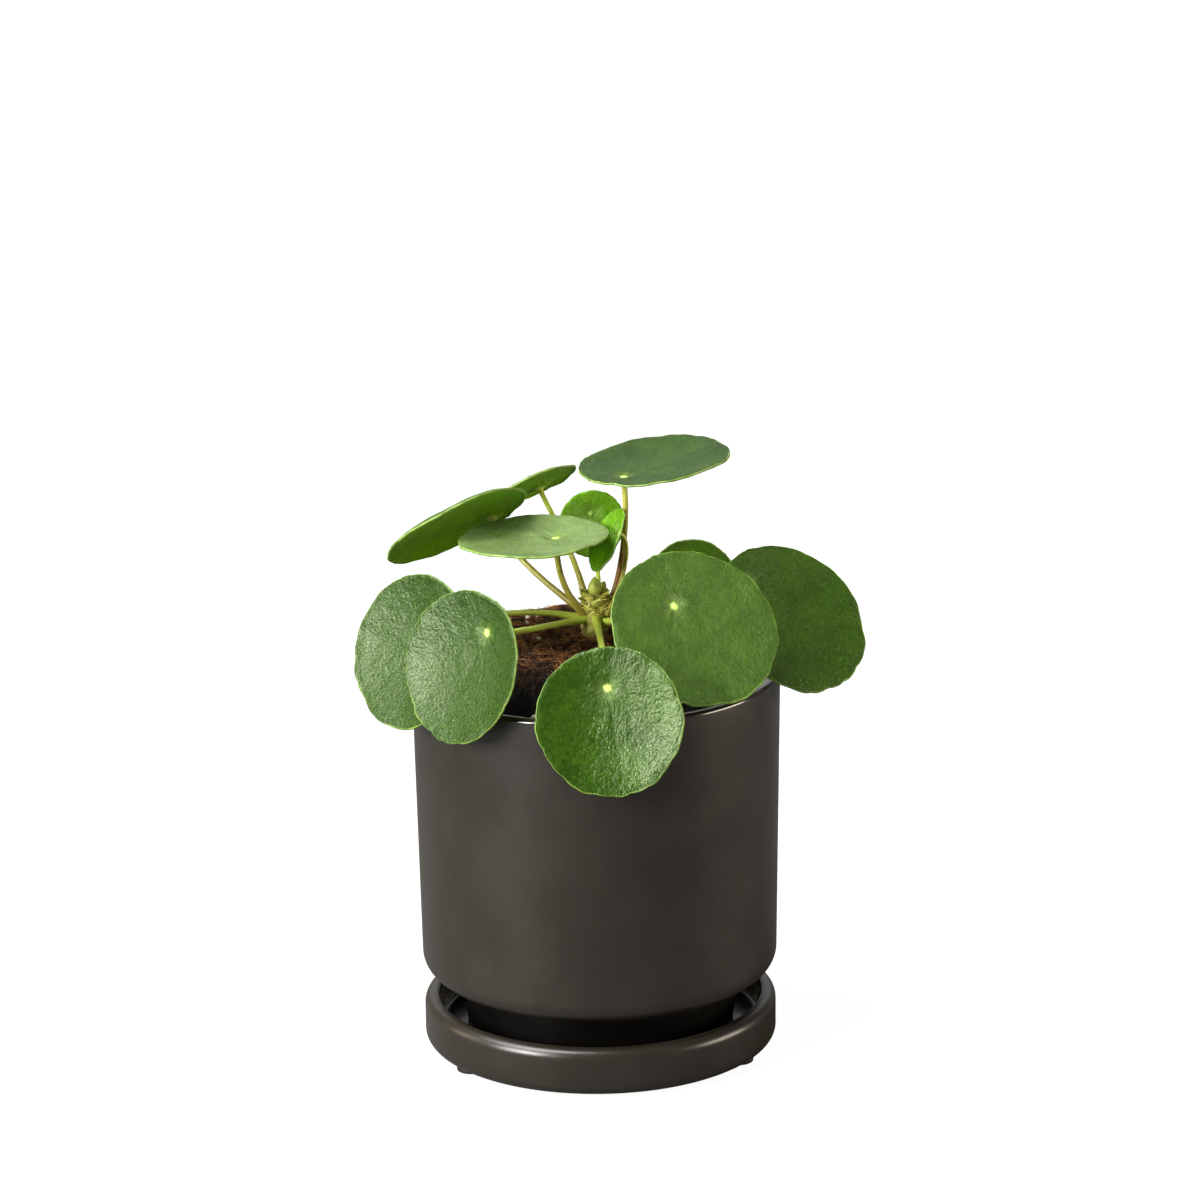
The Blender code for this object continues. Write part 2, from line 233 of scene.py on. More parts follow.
def finish_piece(obj, name, nodes, materials):
    """Names a piece, gives it its materials, and puts it on the body in place of its parts."""
    obj.name = name
    obj.data.name = name
    obj.data.materials.clear()
    for material in materials:
        obj.data.materials.append(material)
    if nodes:
        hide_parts(*nodes)
    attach(obj, "root")
    return obj


def arc(x, z, radius, start, end, parts=6):
    """Points on an arc of a profile, its angles in degrees."""
    turns = (math.radians(start + (end - start) * i / parts) for i in range(parts + 1))
    return [(x + radius * math.cos(a), z + radius * math.sin(a)) for a in turns]


def straight(profile, most):
    """The profile with its long runs cut into lengths of at most the given one."""
    on_axis = profile[0][0] == 0 and profile[-1][0] == 0
    points = []
    for here, there in zip(profile, profile[1:] + ([] if on_axis else profile[:1])):
        parts = max(1, math.ceil(math.dist(here, there) / most))
        points += [
            (here[0] + (there[0] - here[0]) * i / parts, here[1] + (there[1] - here[1]) * i / parts)
            for i in range(parts)
        ]
    return points + (profile[-1:] if on_axis else [])


def turned(name, profile, steps=TURN_STEPS, centre=AXIS):
    """A profile spun round an upright axis: a closed ring, or a line that starts and ends on the axis."""
    deselect()
    bpy.ops.mesh.primitive_plane_add(size=MM)
    obj = bpy.context.object
    obj.name = name
    edit_all()
    bpy.ops.mesh.merge(type="CENTER")
    places = [Vector((centre.x + r, centre.y, z)) for r, z in profile]
    bpy.ops.transform.translate(value=places[0])
    for here, there in zip(places, places[1:]):
        bpy.ops.mesh.extrude_region_move(TRANSFORM_OT_translate={"value": there - here})
    leave_edit()
    on_axis = profile[0][0] == 0 and profile[-1][0] == 0
    for vertex in obj.data.vertices:
        vertex.select = vertex.index in (0, len(places) - 1)
    bpy.ops.object.mode_set(mode="EDIT")
    bpy.ops.mesh.select_mode(type="VERT")
    if not on_axis:
        bpy.ops.mesh.edge_face_add()
    bpy.ops.mesh.select_all(action="SELECT")
    bpy.ops.mesh.spin(steps=steps, angle=math.tau, center=centre, axis=UP)
    merge_and_face_out(obj)
    return obj


def tree_of(node_name):
    """A CAD node's surface, for finding heights on it."""
    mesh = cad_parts[node_name].data
    return BVHTree.FromPolygons([v.co for v in mesh.vertices], [tuple(p.vertices) for p in mesh.polygons])


def joined(parts):
    """The parts as one object."""
    deselect()
    for part in parts:
        part.select_set(True)
    bpy.context.view_layer.objects.active = parts[0]
    bpy.ops.object.join()
    return bpy.context.object


def strand_curve(facets):
    """An empty curve whose lines become round strands, as thick as their points' radii."""
    deselect()
    bpy.ops.curve.primitive_nurbs_path_add(location=(0, 0, 0))
    curve = bpy.context.object.data
    curve.splines.clear()
    curve.dimensions = "3D"
    curve.bevel_depth = 1.0
    curve.bevel_resolution = facets
    curve.use_fill_caps = True
    return curve


def add_strand(curve, kind, points, radii):
    """A line of the curve through the points, with a radius at each."""
    line = curve.splines.new(kind)
    line.points.add(len(points) - 1)
    for spot, point, radius in zip(line.points, points, radii):
        spot.co = (*point, 1)
        spot.radius = radius
    return line


def corner_key(point):
    return tuple(round(c, 7) for c in point)


def unique_points(node_name):
    """A CAD node's corners, each once."""
    found = {corner_key(v.co): v.co.copy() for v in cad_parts[node_name].data.vertices}
    return list(found.values())


def busiest_points(node_name, count):
    """The corners of a CAD node that most faces meet at."""
    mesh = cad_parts[node_name].data
    faces = {}
    for face in mesh.polygons:
        for index in face.vertices:
            key = corner_key(mesh.vertices[index].co)
            faces[key] = faces.get(key, 0) + 1
    return [Vector(key) for key in sorted(faces, key=faces.get, reverse=True)[:count]]


def ease(low, high, value):
    """0 below low, 1 above high and smooth between them."""
    share = min(1.0, max(0.0, (value - low) / (high - low)))
    return share * share * (3 - 2 * share)


# ------------------------------------------------------------------ shading


def node(tree, kind, sockets=None, **settings):
    """A shader node with its settings and its sockets set or linked."""
    made = tree.nodes.new(kind)
    for key, value in settings.items():
        setattr(made, key, value)
    for key, value in (sockets or {}).items():
        if isinstance(value, bpy.types.NodeSocket):
            tree.links.new(value, made.inputs[key])
        else:
            made.inputs[key].default_value = value
    return made


def sums(tree, operation, first, second=0.0, third=0.0, clamp=False):
    sockets = {0: first, 1: second, 2: third}
    return node(tree, "ShaderNodeMath", sockets, operation=operation, use_clamp=clamp).outputs[0]


def swing(tree, value, size):
    """How far a 0 to 1 value is from its middle, times a size."""
    return sums(tree, "MULTIPLY", sums(tree, "SUBTRACT", value, 0.5), size)


def vectors(tree, operation, first, second=(0.0, 0.0, 0.0)):
    """The outputs of a sum of vectors: 0 is a vector and Value a number."""
    sockets = {0: first, "Scale" if operation == "SCALE" else 1: second}
    return node(tree, "ShaderNodeVectorMath", sockets, operation=operation).outputs


def between(tree, value, low, high, start=0.0, end=1.0):
    """Maps a value smoothly from low..high to start..end."""
    sockets = {"Value": value, "From Min": low, "From Max": high, "To Min": start, "To Max": end}
    return node(tree, "ShaderNodeMapRange", sockets, interpolation_type="SMOOTHSTEP").outputs[0]


def blend(tree, share, first, second, kind="MIX"):
    sockets = {0: share, 6: first, 7: second}
    return node(tree, "ShaderNodeMix", sockets, data_type="RGBA", blend_type=kind).outputs[2]


def cloud(tree, place, scale, detail=3.0, roughness=0.55, distortion=0.0):
    sockets = {
        "Vector": place, "Scale": scale, "Detail": detail, "Roughness": roughness, "Distortion": distortion
    }
    return node(tree, "ShaderNodeTexNoise", sockets).outputs[0]


def new_group(name, inputs, outputs):
    """A shader node group with named sockets: its tree, its inputs and its output node."""
    tree = bpy.data.node_groups.new(name, "ShaderNodeTree")
    kinds = {float: "NodeSocketFloat", tuple: "NodeSocketColor"}
    for key, value in inputs.items():
        made = tree.interface.new_socket(key, in_out="INPUT", socket_type=kinds[type(value)])
        made.default_value = value
    for key, kind in outputs.items():
        tree.interface.new_socket(key, in_out="OUTPUT", socket_type=kind)
    given = tree.nodes.new("NodeGroupInput").outputs
    out = tree.nodes.new("NodeGroupOutput")
    return tree, given, out


def grain_group():
    """Fine grain for glaze, rubber and skins: a mask of flecks and a height."""
    name = "fine grain"
    if name in bpy.data.node_groups:
        return bpy.data.node_groups[name]
    inputs = {"Scale": 900.0, "Patch scale": 40.0}
    outputs = {"Flecks": "NodeSocketFloat", "Patches": "NodeSocketFloat", "Height": "NodeSocketFloat"}
    tree, given, out = new_group(name, inputs, outputs)
    place = node(tree, "ShaderNodeTexCoord").outputs["Object"]
    fine = cloud(tree, place, given["Scale"], 2.0, 0.6)
    coarse = cloud(tree, place, sums(tree, "MULTIPLY", given["Scale"], 0.28), 2.0, 0.5)
    patches = cloud(tree, place, given["Patch scale"], 4.0, 0.6)
    height = sums(tree, "ADD", sums(tree, "MULTIPLY", fine, 0.6), sums(tree, "MULTIPLY", coarse, 0.4))
    tree.links.new(between(tree, fine, 0.56, 0.72), out.inputs["Flecks"])
    tree.links.new(between(tree, patches, 0.35, 0.65), out.inputs["Patches"])
    tree.links.new(height, out.inputs["Height"])
    return tree


def leaf_group():
    """The skin of a leaf, read in millimetres round its stalk and by its share of the way to the margin."""
    name = "leaf skin"
    if name in bpy.data.node_groups:
        return bpy.data.node_groups[name]
    inputs = {
        "Deep": (0.03, 0.08, 0.01, 1.0),
        "Fresh": (0.09, 0.23, 0.01, 1.0),
        "Dot": (0.6, 0.8, 0.3, 1.0),
        "Edge": (0.3, 0.5, 0.1, 1.0),
        "Freshness": 0.4,
        "Roughness": 0.42,
        "Seed": 0.0,
        "Bloom": 0.0,
        "Dot size": 1.7,
        "Veins": 0.35,
    }
    outputs = {"Colour": "NodeSocketColor", "Roughness": "NodeSocketFloat", "Height": "NodeSocketFloat"}
    tree, given, out = new_group(name, inputs, outputs)
    flat = node(tree, "ShaderNodeUVMap", uv_map="leaf").outputs[0]
    place = vectors(tree, "SCALE", vectors(tree, "SUBTRACT", flat, (0.5, 0.5, 0))[0], BLADE_SPAN / MM)[0]
    reach = vectors(tree, "LENGTH", place)["Value"]
    along = node(tree, "ShaderNodeAttribute", attribute_name="margin").outputs["Fac"]
    heading = vectors(tree, "NORMALIZE", place)[0]
    seed_step = node(tree, "ShaderNodeCombineXYZ", {2: given["Seed"]}).outputs[0]
    # wrinkles run outwards from the stalk, so their pattern is read by heading and reach
    reach_step = node(tree, "ShaderNodeCombineXYZ", {2: sums(tree, "MULTIPLY", reach, 0.34)}).outputs[0]
    ray = vectors(tree, "ADD", vectors(tree, "SCALE", heading, 9.0)[0], reach_step)[0]
    ray = vectors(tree, "ADD", ray, seed_step)[0]
    spot = vectors(tree, "ADD", place, seed_step)[0]
    wrinkles = cloud(tree, ray, 1.0, 3.0, 0.62, 0.9)
    pebbles = cloud(tree, spot, 0.75, 3.0, 0.6, 0.3)
    fine = cloud(tree, spot, 1.9, 2.0, 0.6)
    patches = cloud(tree, spot, 0.075, 3.0, 0.55)
    rays = cloud(tree, ray, 0.42, 1.0, 0.5)
    # veins lie where the wide rays cross their middle, and fade out from the stalk
    vein_lines = between(tree, sums(tree, "ABSOLUTE", swing(tree, rays, 1.0)), 0.0, 0.035, 1.0, 0.0)
    vein_fade = between(tree, reach, 1.0, 24.0, 1.0, 0.1)
    veins = sums(tree, "MULTIPLY", sums(tree, "MULTIPLY", vein_lines, vein_fade), given["Veins"])
    green_share = sums(tree, "ADD", given["Freshness"], swing(tree, patches, 0.9), clamp=True)
    colour = blend(tree, green_share, given["Deep"], given["Fresh"])
    # darker where the pebbled skin dips: painted shade in its creases
    dark = between(tree, pebbles, 0.3, 0.62, 0.34, 0.0)
    colour = blend(tree, dark, colour, given["Deep"], "MULTIPLY")
    # pale patches of painted sheen, standing in for the reflection of the overhead light
    bloom = sums(tree, "MULTIPLY", given["Bloom"], between(tree, patches, 0.25, 0.7, 0.6, 1.0))
    colour = blend(tree, bloom, colour, rgba(PAINTED_SHEEN))
    colour = blend(tree, veins, colour, given["Edge"])
    # small pale specks gather towards the margin
    speck_field = node(tree, "ShaderNodeTexVoronoi", {"Vector": spot, "Scale": 0.32}).outputs["Distance"]
    specks = sums(
        tree, "MULTIPLY", between(tree, speck_field, 0.05, 0.13, 1.0, 0.0), between(tree, along, 0.55, 0.95)
    )
    colour = blend(tree, sums(tree, "MULTIPLY", specks, 0.55), colour, given["Edge"])
    # pale rays and a ragged dot over the stalk
    glow = between(tree, reach, 1.0, 6.0, 0.45, 0.0)
    glow = sums(tree, "MULTIPLY", glow, between(tree, rays, 0.3, 0.65))
    colour = blend(tree, glow, colour, given["Edge"])
    ragged = sums(tree, "MULTIPLY_ADD", wrinkles, 2.6, sums(tree, "SUBTRACT", reach, 1.3))
    dot = sums(tree, "DIVIDE", ragged, given["Dot size"])
    colour = blend(tree, between(tree, dot, 0.55, 1.35, 1.0, 0.0), colour, given["Dot"])
    # a thin pale line at the margin, stronger here and there: partly the leaf's pale margin, partly painted
    # highlight where the edge catches the light
    edge_line = sums(tree, "ADD", along, swing(tree, fine, 0.02))
    margin_highlight_share = between(tree, rays, 0.38, 0.6, 0.12, 0.75)
    margin_highlight_share = sums(tree, "MULTIPLY", margin_highlight_share, between(tree, edge_line, 0.986, 0.997))
    colour = blend(tree, margin_highlight_share, colour, given["Edge"])
    height = sums(tree, "MULTIPLY_ADD", pebbles, 0.6, sums(tree, "MULTIPLY", wrinkles, 0.4))
    height = sums(tree, "MULTIPLY_ADD", fine, 0.2, height)
    height = sums(tree, "MULTIPLY_ADD", veins, -0.25, height)
    rough = sums(tree, "ADD", given["Roughness"], swing(tree, pebbles, 0.3))
    tree.links.new(colour, out.inputs["Colour"])
    tree.links.new(rough, out.inputs["Roughness"])
    tree.links.new(height, out.inputs["Height"])
    return tree


def new_material(name, specular=0.5, coat=0.0, coat_roughness=0.2):
    """A material whose shader has a bump: (material, tree)."""
    made = bpy.data.materials.new(name)
    made.use_nodes = True
    tree = made.node_tree
    shader = tree.nodes["Principled BSDF"]
    shader.inputs["Specular IOR Level"].default_value = specular
    shader.inputs["Coat Weight"].default_value = coat
    shader.inputs["Coat Roughness"].default_value = coat_roughness
    bump = tree.nodes.new("ShaderNodeBump")
    tree.links.new(bump.outputs["Normal"], shader.inputs["Normal"])
    return made, tree


def wired(made, colour, rough, height, strength, depth):
    """The material, its shader fed with a colour, a roughness and a height of so many metres."""
    tree = made.node_tree
    shader, bump = tree.nodes["Principled BSDF"], tree.nodes["Bump"]
    tree.links.new(colour, shader.inputs["Base Color"])
    tree.links.new(rough, shader.inputs["Roughness"])
    tree.links.new(height, bump.inputs["Height"])
    bump.inputs["Strength"].default_value = strength
    bump.inputs["Distance"].default_value = depth
    return made


def grained(name, base, fleck, roughness, rough_spread, bump_height, scale, fleck_share=0.5, **shine):
    """A finish of one colour with flecks, patches and a fine grain."""
    made, tree = new_material(name, **shine)
    grain = node(tree, "ShaderNodeGroup", node_tree=grain_group())
    grain.inputs["Scale"].default_value = scale
    flecks = sums(tree, "MULTIPLY", grain.outputs["Flecks"], fleck_share)
    colour = blend(tree, sums(tree, "MULTIPLY", grain.outputs["Patches"], 0.22), rgba(base), rgba(fleck))
    colour = blend(tree, flecks, colour, rgba(fleck))
    rough = sums(tree, "MULTIPLY_ADD", grain.outputs["Patches"], rough_spread, roughness)
    return wired(made, colour, rough, grain.outputs["Height"], 0.5, bump_height)


def leaf_material(name, freshness, roughness, seed, veins, dot_size, under=False, young=False, bloom=0.0):
    """One side of one leaf."""
    tints = colours()
    made, tree = new_material(name, specular=0.08 if under else 0.46)
    shader = tree.nodes["Principled BSDF"]
    shader.inputs["Subsurface Weight"].default_value = 0.5
    shader.inputs["Specular Tint"].default_value = (0.86, 1.0, 0.66, 1)
    shader.inputs["Subsurface Radius"].default_value = (0.5, 1.0, 0.12)
    shader.inputs["Subsurface Scale"].default_value = LIGHT_DEPTH
    skin = node(tree, "ShaderNodeGroup", node_tree=leaf_group())
    # on the back the bright green is painted light shining through the leaf
    fresh = tints.under_painted_backlight if under else tints.leaf_fresh
    given = {
        "Deep": rgba(tints.under_deep if under else tints.leaf_deep),
        "Fresh": rgba(tints.leaf_young if young else fresh),
        "Dot": rgba(tints.leaf_dot),
        "Edge": rgba(tints.leaf_edge),
        "Freshness": freshness,
        "Roughness": roughness,
        "Seed": seed,
        "Bloom": bloom,
        "Veins": veins,
        "Dot size": dot_size,
    }
    for key, value in given.items():
        skin.inputs[key].default_value = value
    colour, rough, height = (skin.outputs[key] for key in ("Colour", "Roughness", "Height"))
    return wired(made, colour, rough, height, 0.95, 0.6 * MM)


def two_tone(name, first, second, scale, roughness, bump_height, shift=0.5, stretch=(1, 1, 1), **shine):
    """A finish that wanders between two colours, with its own grain."""
    made, tree = new_material(name, **shine)
    place = node(tree, "ShaderNodeTexCoord").outputs["Object"]
    place = node(tree, "ShaderNodeMapping", {"Vector": place, "Scale": stretch}).outputs[0]
    share = between(tree, cloud(tree, place, scale, 5.0, 0.65), shift - 0.16, shift + 0.16)
    grain = cloud(tree, place, scale * 3, 3.0, 0.6)
    rough = sums(tree, "MULTIPLY_ADD", grain, 0.2, roughness - 0.1)
    return wired(made, blend(tree, share, rgba(first), rgba(second)), rough, grain, 0.7, bump_height)


def coir_finish(name, dark, light, scale, roughness, bump_height, hollow_shade):
    """Coir, reddish on top of the mound and darker lower down, with painted shade where it sinks towards the
    rim and in its hollows.
    """
    made, tree = new_material(name, specular=0.25)
    place = node(tree, "ShaderNodeTexCoord").outputs["Object"]
    high = node(tree, "ShaderNodeSeparateXYZ", {0: place}).outputs[2]
    toward_top = between(tree, high, SOIL_HIGH.z - 14 * MM, SOIL_HIGH.z - 1 * MM, 0.0, 0.62)
    wander = cloud(tree, place, scale, 4.0, 0.7)
    share = sums(tree, "ADD", toward_top, swing(tree, wander, 2.6), clamp=True)
    colour = blend(tree, share, rgba(dark), rgba(light))
    # darker low down towards the rim and in the hollows between lumps: painted shade
    painted_sink_shade = between(tree, high, SOIL_HIGH.z - 12 * MM, SOIL_HIGH.z - 1.5 * MM, 0.22, 1.0)
    painted_hollow_shade = between(tree, cloud(tree, place, 150.0, 3.0, 0.6), 0.42, 0.58, hollow_shade, 1.0)
    painted_sink_shade = sums(tree, "MULTIPLY", painted_sink_shade, painted_hollow_shade)
    painted_shade_colour = node(tree, "ShaderNodeCombineColor", {0: painted_sink_shade, 1: painted_sink_shade, 2: painted_sink_shade}).outputs[0]
    colour = blend(tree, 1.0, colour, painted_shade_colour, "MULTIPLY")
    grain = cloud(tree, place, scale * 5, 3.0, 0.6)
    rough = sums(tree, "MULTIPLY_ADD", grain, 0.2, roughness - 0.1)
    return wired(made, colour, rough, grain, 0.8, bump_height)


# ------------------------------------------------------------------ pot and saucer


def pot_profile():
    s = sizes()
    foot_base = POT_LOW.z
    rim = POT_HIGH.z
    body = rim - s.pot_body
    base = POT_RADIUS - s.pot_taper
    wall = s.pot_wall
    inner = s.pot_corner - wall
    edge = s.rim_round
    shelf = body + wall
    inside = [(s.foot_radius - s.foot_taper - wall, foot_base + wall), (s.foot_radius - wall, shelf)]
    inside += arc(base - wall - inner, shelf + inner, inner, -90, 0, 6)
    profile = arc(s.drain_radius + MM, foot_base + MM, MM, 180, 270, 3)
    profile += arc(s.foot_radius - s.foot_taper - MM, foot_base + MM, MM, -90, 0, 3)
    profile += [(s.foot_radius, body)]
    profile += arc(base - s.pot_corner, body + s.pot_corner, s.pot_corner, -90, 0, 14)
    profile += arc(POT_RADIUS - edge, rim - edge, edge, 0, 90, 7)
    profile += arc(POT_RADIUS - wall + edge, rim - edge, edge, 90, 180, 7)
    profile += list(reversed(inside))
    profile += [(s.drain_radius, foot_base + wall)]
    return profile


def saucer_profile():
    s = sizes()
    base = SAUCER_LOW.z
    top = SAUCER_HIGH.z
    well = SAUCER_RADIUS - s.saucer_wall
    level = base + s.saucer_floor
    round_below, lip, inner_lip, corner = 4 * MM, 4.1 * MM, 1.1 * MM, 3 * MM
    # the middle of the underside lies a little higher than the ring it would stand on
    raised, slope = 0.6 * MM, MM
    ring = SAUCER_RADIUS - 20 * MM
    profile = [(0.0, base + raised), (ring - slope, base + raised), (ring, base)]
    profile += arc(SAUCER_RADIUS - round_below, base + round_below, round_below, -90, 0, 8)
    profile += arc(SAUCER_RADIUS - lip, top - lip, lip, 0, 90, 12)
    profile += arc(well + inner_lip, top - inner_lip, inner_lip, 90, 180, 6)
    profile += arc(well - corner, level + corner, corner, 0, -90, 6)
    profile += [(0.0, level)]
    return profile


class MONEYPLANT_OT_pot(bpy.types.Operator):
    """Turn the glazed pot with its foot, its drain hole and its thin rim"""

    bl_idname = "money_plant.pot"
    bl_label = "Pot"

    def execute(self, context):
        tints = colours()
        obj = turned("glazed_pot", straight(pot_profile(), 9 * MM))
        smooth(obj, 50)
        matt = grained(
            "matt glaze", tints.glaze, tints.glaze_worn, 0.33, 0.06, 0.05 * MM, 1100, 0.3, specular=0.5
        )
        # the foot is darker than the body's glaze: painted shade between the pot and the saucer
        foot = grained(
            "foot glaze painted shade", tints.foot_glaze_painted_shade, tints.gloss_glaze, 0.3, 0.08, 0.05 * MM, 1100, 0.2, specular=0.2
        )
        lip = grained(
            "rim glaze", tints.glaze, tints.glaze_worn, 0.15, 0.05, 0.02 * MM, 900, 0.3, coat=0.6,
            coat_roughness=0.12,
        )
        finish_piece(obj, "glazed_pot", ["pot"], [matt, foot, lip])
        body = POT_HIGH.z - sizes().pot_body
        crest = POT_HIGH.z - sizes().rim_round
        # faces below the body take the painted-shade foot glaze, faces on the crest the rim glaze
        for face in obj.data.polygons:
            face.material_index = 1 if face.center.z < body + MM else int(face.center.z > crest) * 2
        return {"FINISHED"}


class MONEYPLANT_OT_saucer(bpy.types.Operator):
    """Turn the saucer: matt outside, glossy from the crest of its lip inwards, on three rubber pads"""

    bl_idname = "money_plant.saucer"
    bl_label = "Saucer"

    def execute(self, context):
        tints = colours()
        s = sizes()
        obj = turned("glazed_saucer", straight(saucer_profile(), 7 * MM))
        smooth(obj, 50)
        matt = grained(
            "matt saucer glaze", tints.glaze, tints.glaze_worn, 0.27, 0.06, 0.05 * MM, 1000, 0.3
        )
        # the glossy well takes the darkened foot colour: the saucer's own black glaze, deepened by painted
        # shade under the pot
        gloss = grained(
            "gloss saucer glaze", tints.foot_glaze_painted_shade, tints.gloss_glaze, 0.2, 0.06, 0.01 * MM, 320, 0.1,
            specular=0.2, coat=0.2, coat_roughness=0.06,
        )
        finish_piece(obj, "glazed_saucer", ["saucer"], [matt, gloss])
        crest = SAUCER_RADIUS - s.saucer_wall + 1.1 * MM
        level = SAUCER_LOW.z + s.saucer_floor
        for face in obj.data.polygons:
            out = (face.center.xy - AXIS.xy).length
            face.material_index = int(out < crest and face.center.z > level - MM)
        rubber = grained("rubber", tints.rubber, tints.glaze, 0.6, 0.1, 0.06 * MM, 1400, 0.2, specular=0.4)
        for side in ("left", "right", "back"):
            low, high = (Vector(c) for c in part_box(f"saucer_pad_{side}"))
            middle = (low + high) / 2
            deselect()
            bpy.ops.mesh.primitive_cylinder_add(
                vertices=56, radius=(high.x - low.x) / 2, depth=high.z - low.z, location=middle
            )
            pad = bpy.context.object
            bpy.ops.object.transform_apply(location=True, rotation=True, scale=True)
            apply_modifier(pad, "BEVEL", width=0.5 * MM, segments=4, limit_method="ANGLE")
            smooth(pad, 50)
            finish_piece(pad, f"rubber_pad_{side}", [f"saucer_pad_{side}"], [rubber])
        return {"FINISHED"}


# ------------------------------------------------------------------ soil

SOIL_RINGS = 72
SOIL_STEPS = 220
SOIL_GAP = 0.25 * MM
# the mound falls off a little faster behind the stem
SOIL_DIP = 1.9 * MM
# one strand in so many is a long loose one, and those behind the crest lie flat
LONG_EVERY = 11
CREST = 25 * MM
# white chips that lie in sight on the crest: bearing and way out from the axis in millimetres
CREST_CHIPS = ((124, 45), (121, 42), (133, 47), (196, 44))


class Ground:
    """The height of the root ball at a place."""

    def __init__(self):
        self.tree = tree_of("soil")
        self.reach = POT_RADIUS - sizes().pot_wall - SOIL_GAP

    def plain(self, x, y):
        offset = Vector((x, y, 0)) - AXIS
        limit = (SOIL_HIGH.x - SOIL_LOW.x) / 2 * 0.985
        if offset.length > limit:
            offset = offset.normalized() * limit
        total, count = 0.0, 0
        for dx, dy in ((0, 0), (1, 0), (-1, 0), (0, 1), (0, -1)):
            start = AXIS + offset * 0.99 + Vector((dx, dy, 0)) * 1.6 * MM
            hit = self.tree.ray_cast(Vector((start.x, start.y, SOIL_HIGH.z + 0.02)), -UP)[0]
            if hit is not None:
                total += hit.z
                count += 1
        return total / count if count else SOIL_LOW.z

    def rough(self, x, y):
        place = Vector((x, y, 0))
        lumps = noise.noise(place * 140) * 1.5 + noise.noise(place * 330 + UP * 5) * 1.0
        crumbs = noise.noise(place * 800 + UP * 9) * 0.5 + noise.noise(place * 1700 + UP * 3) * 0.22
        from_stem = (place - STEM_AXIS).length
        calm = ease(STEM_RADIUS, STEM_RADIUS + 5 * MM, from_stem)
        return (lumps * (0.3 + 0.7 * calm) + crumbs) * MM

    def height(self, x, y):
        behind = ease(8 * MM, 34 * MM, y - AXIS.y)
        return self.plain(x, y) + self.rough(x, y) - 0.4 * MM - SOIL_DIP * behind


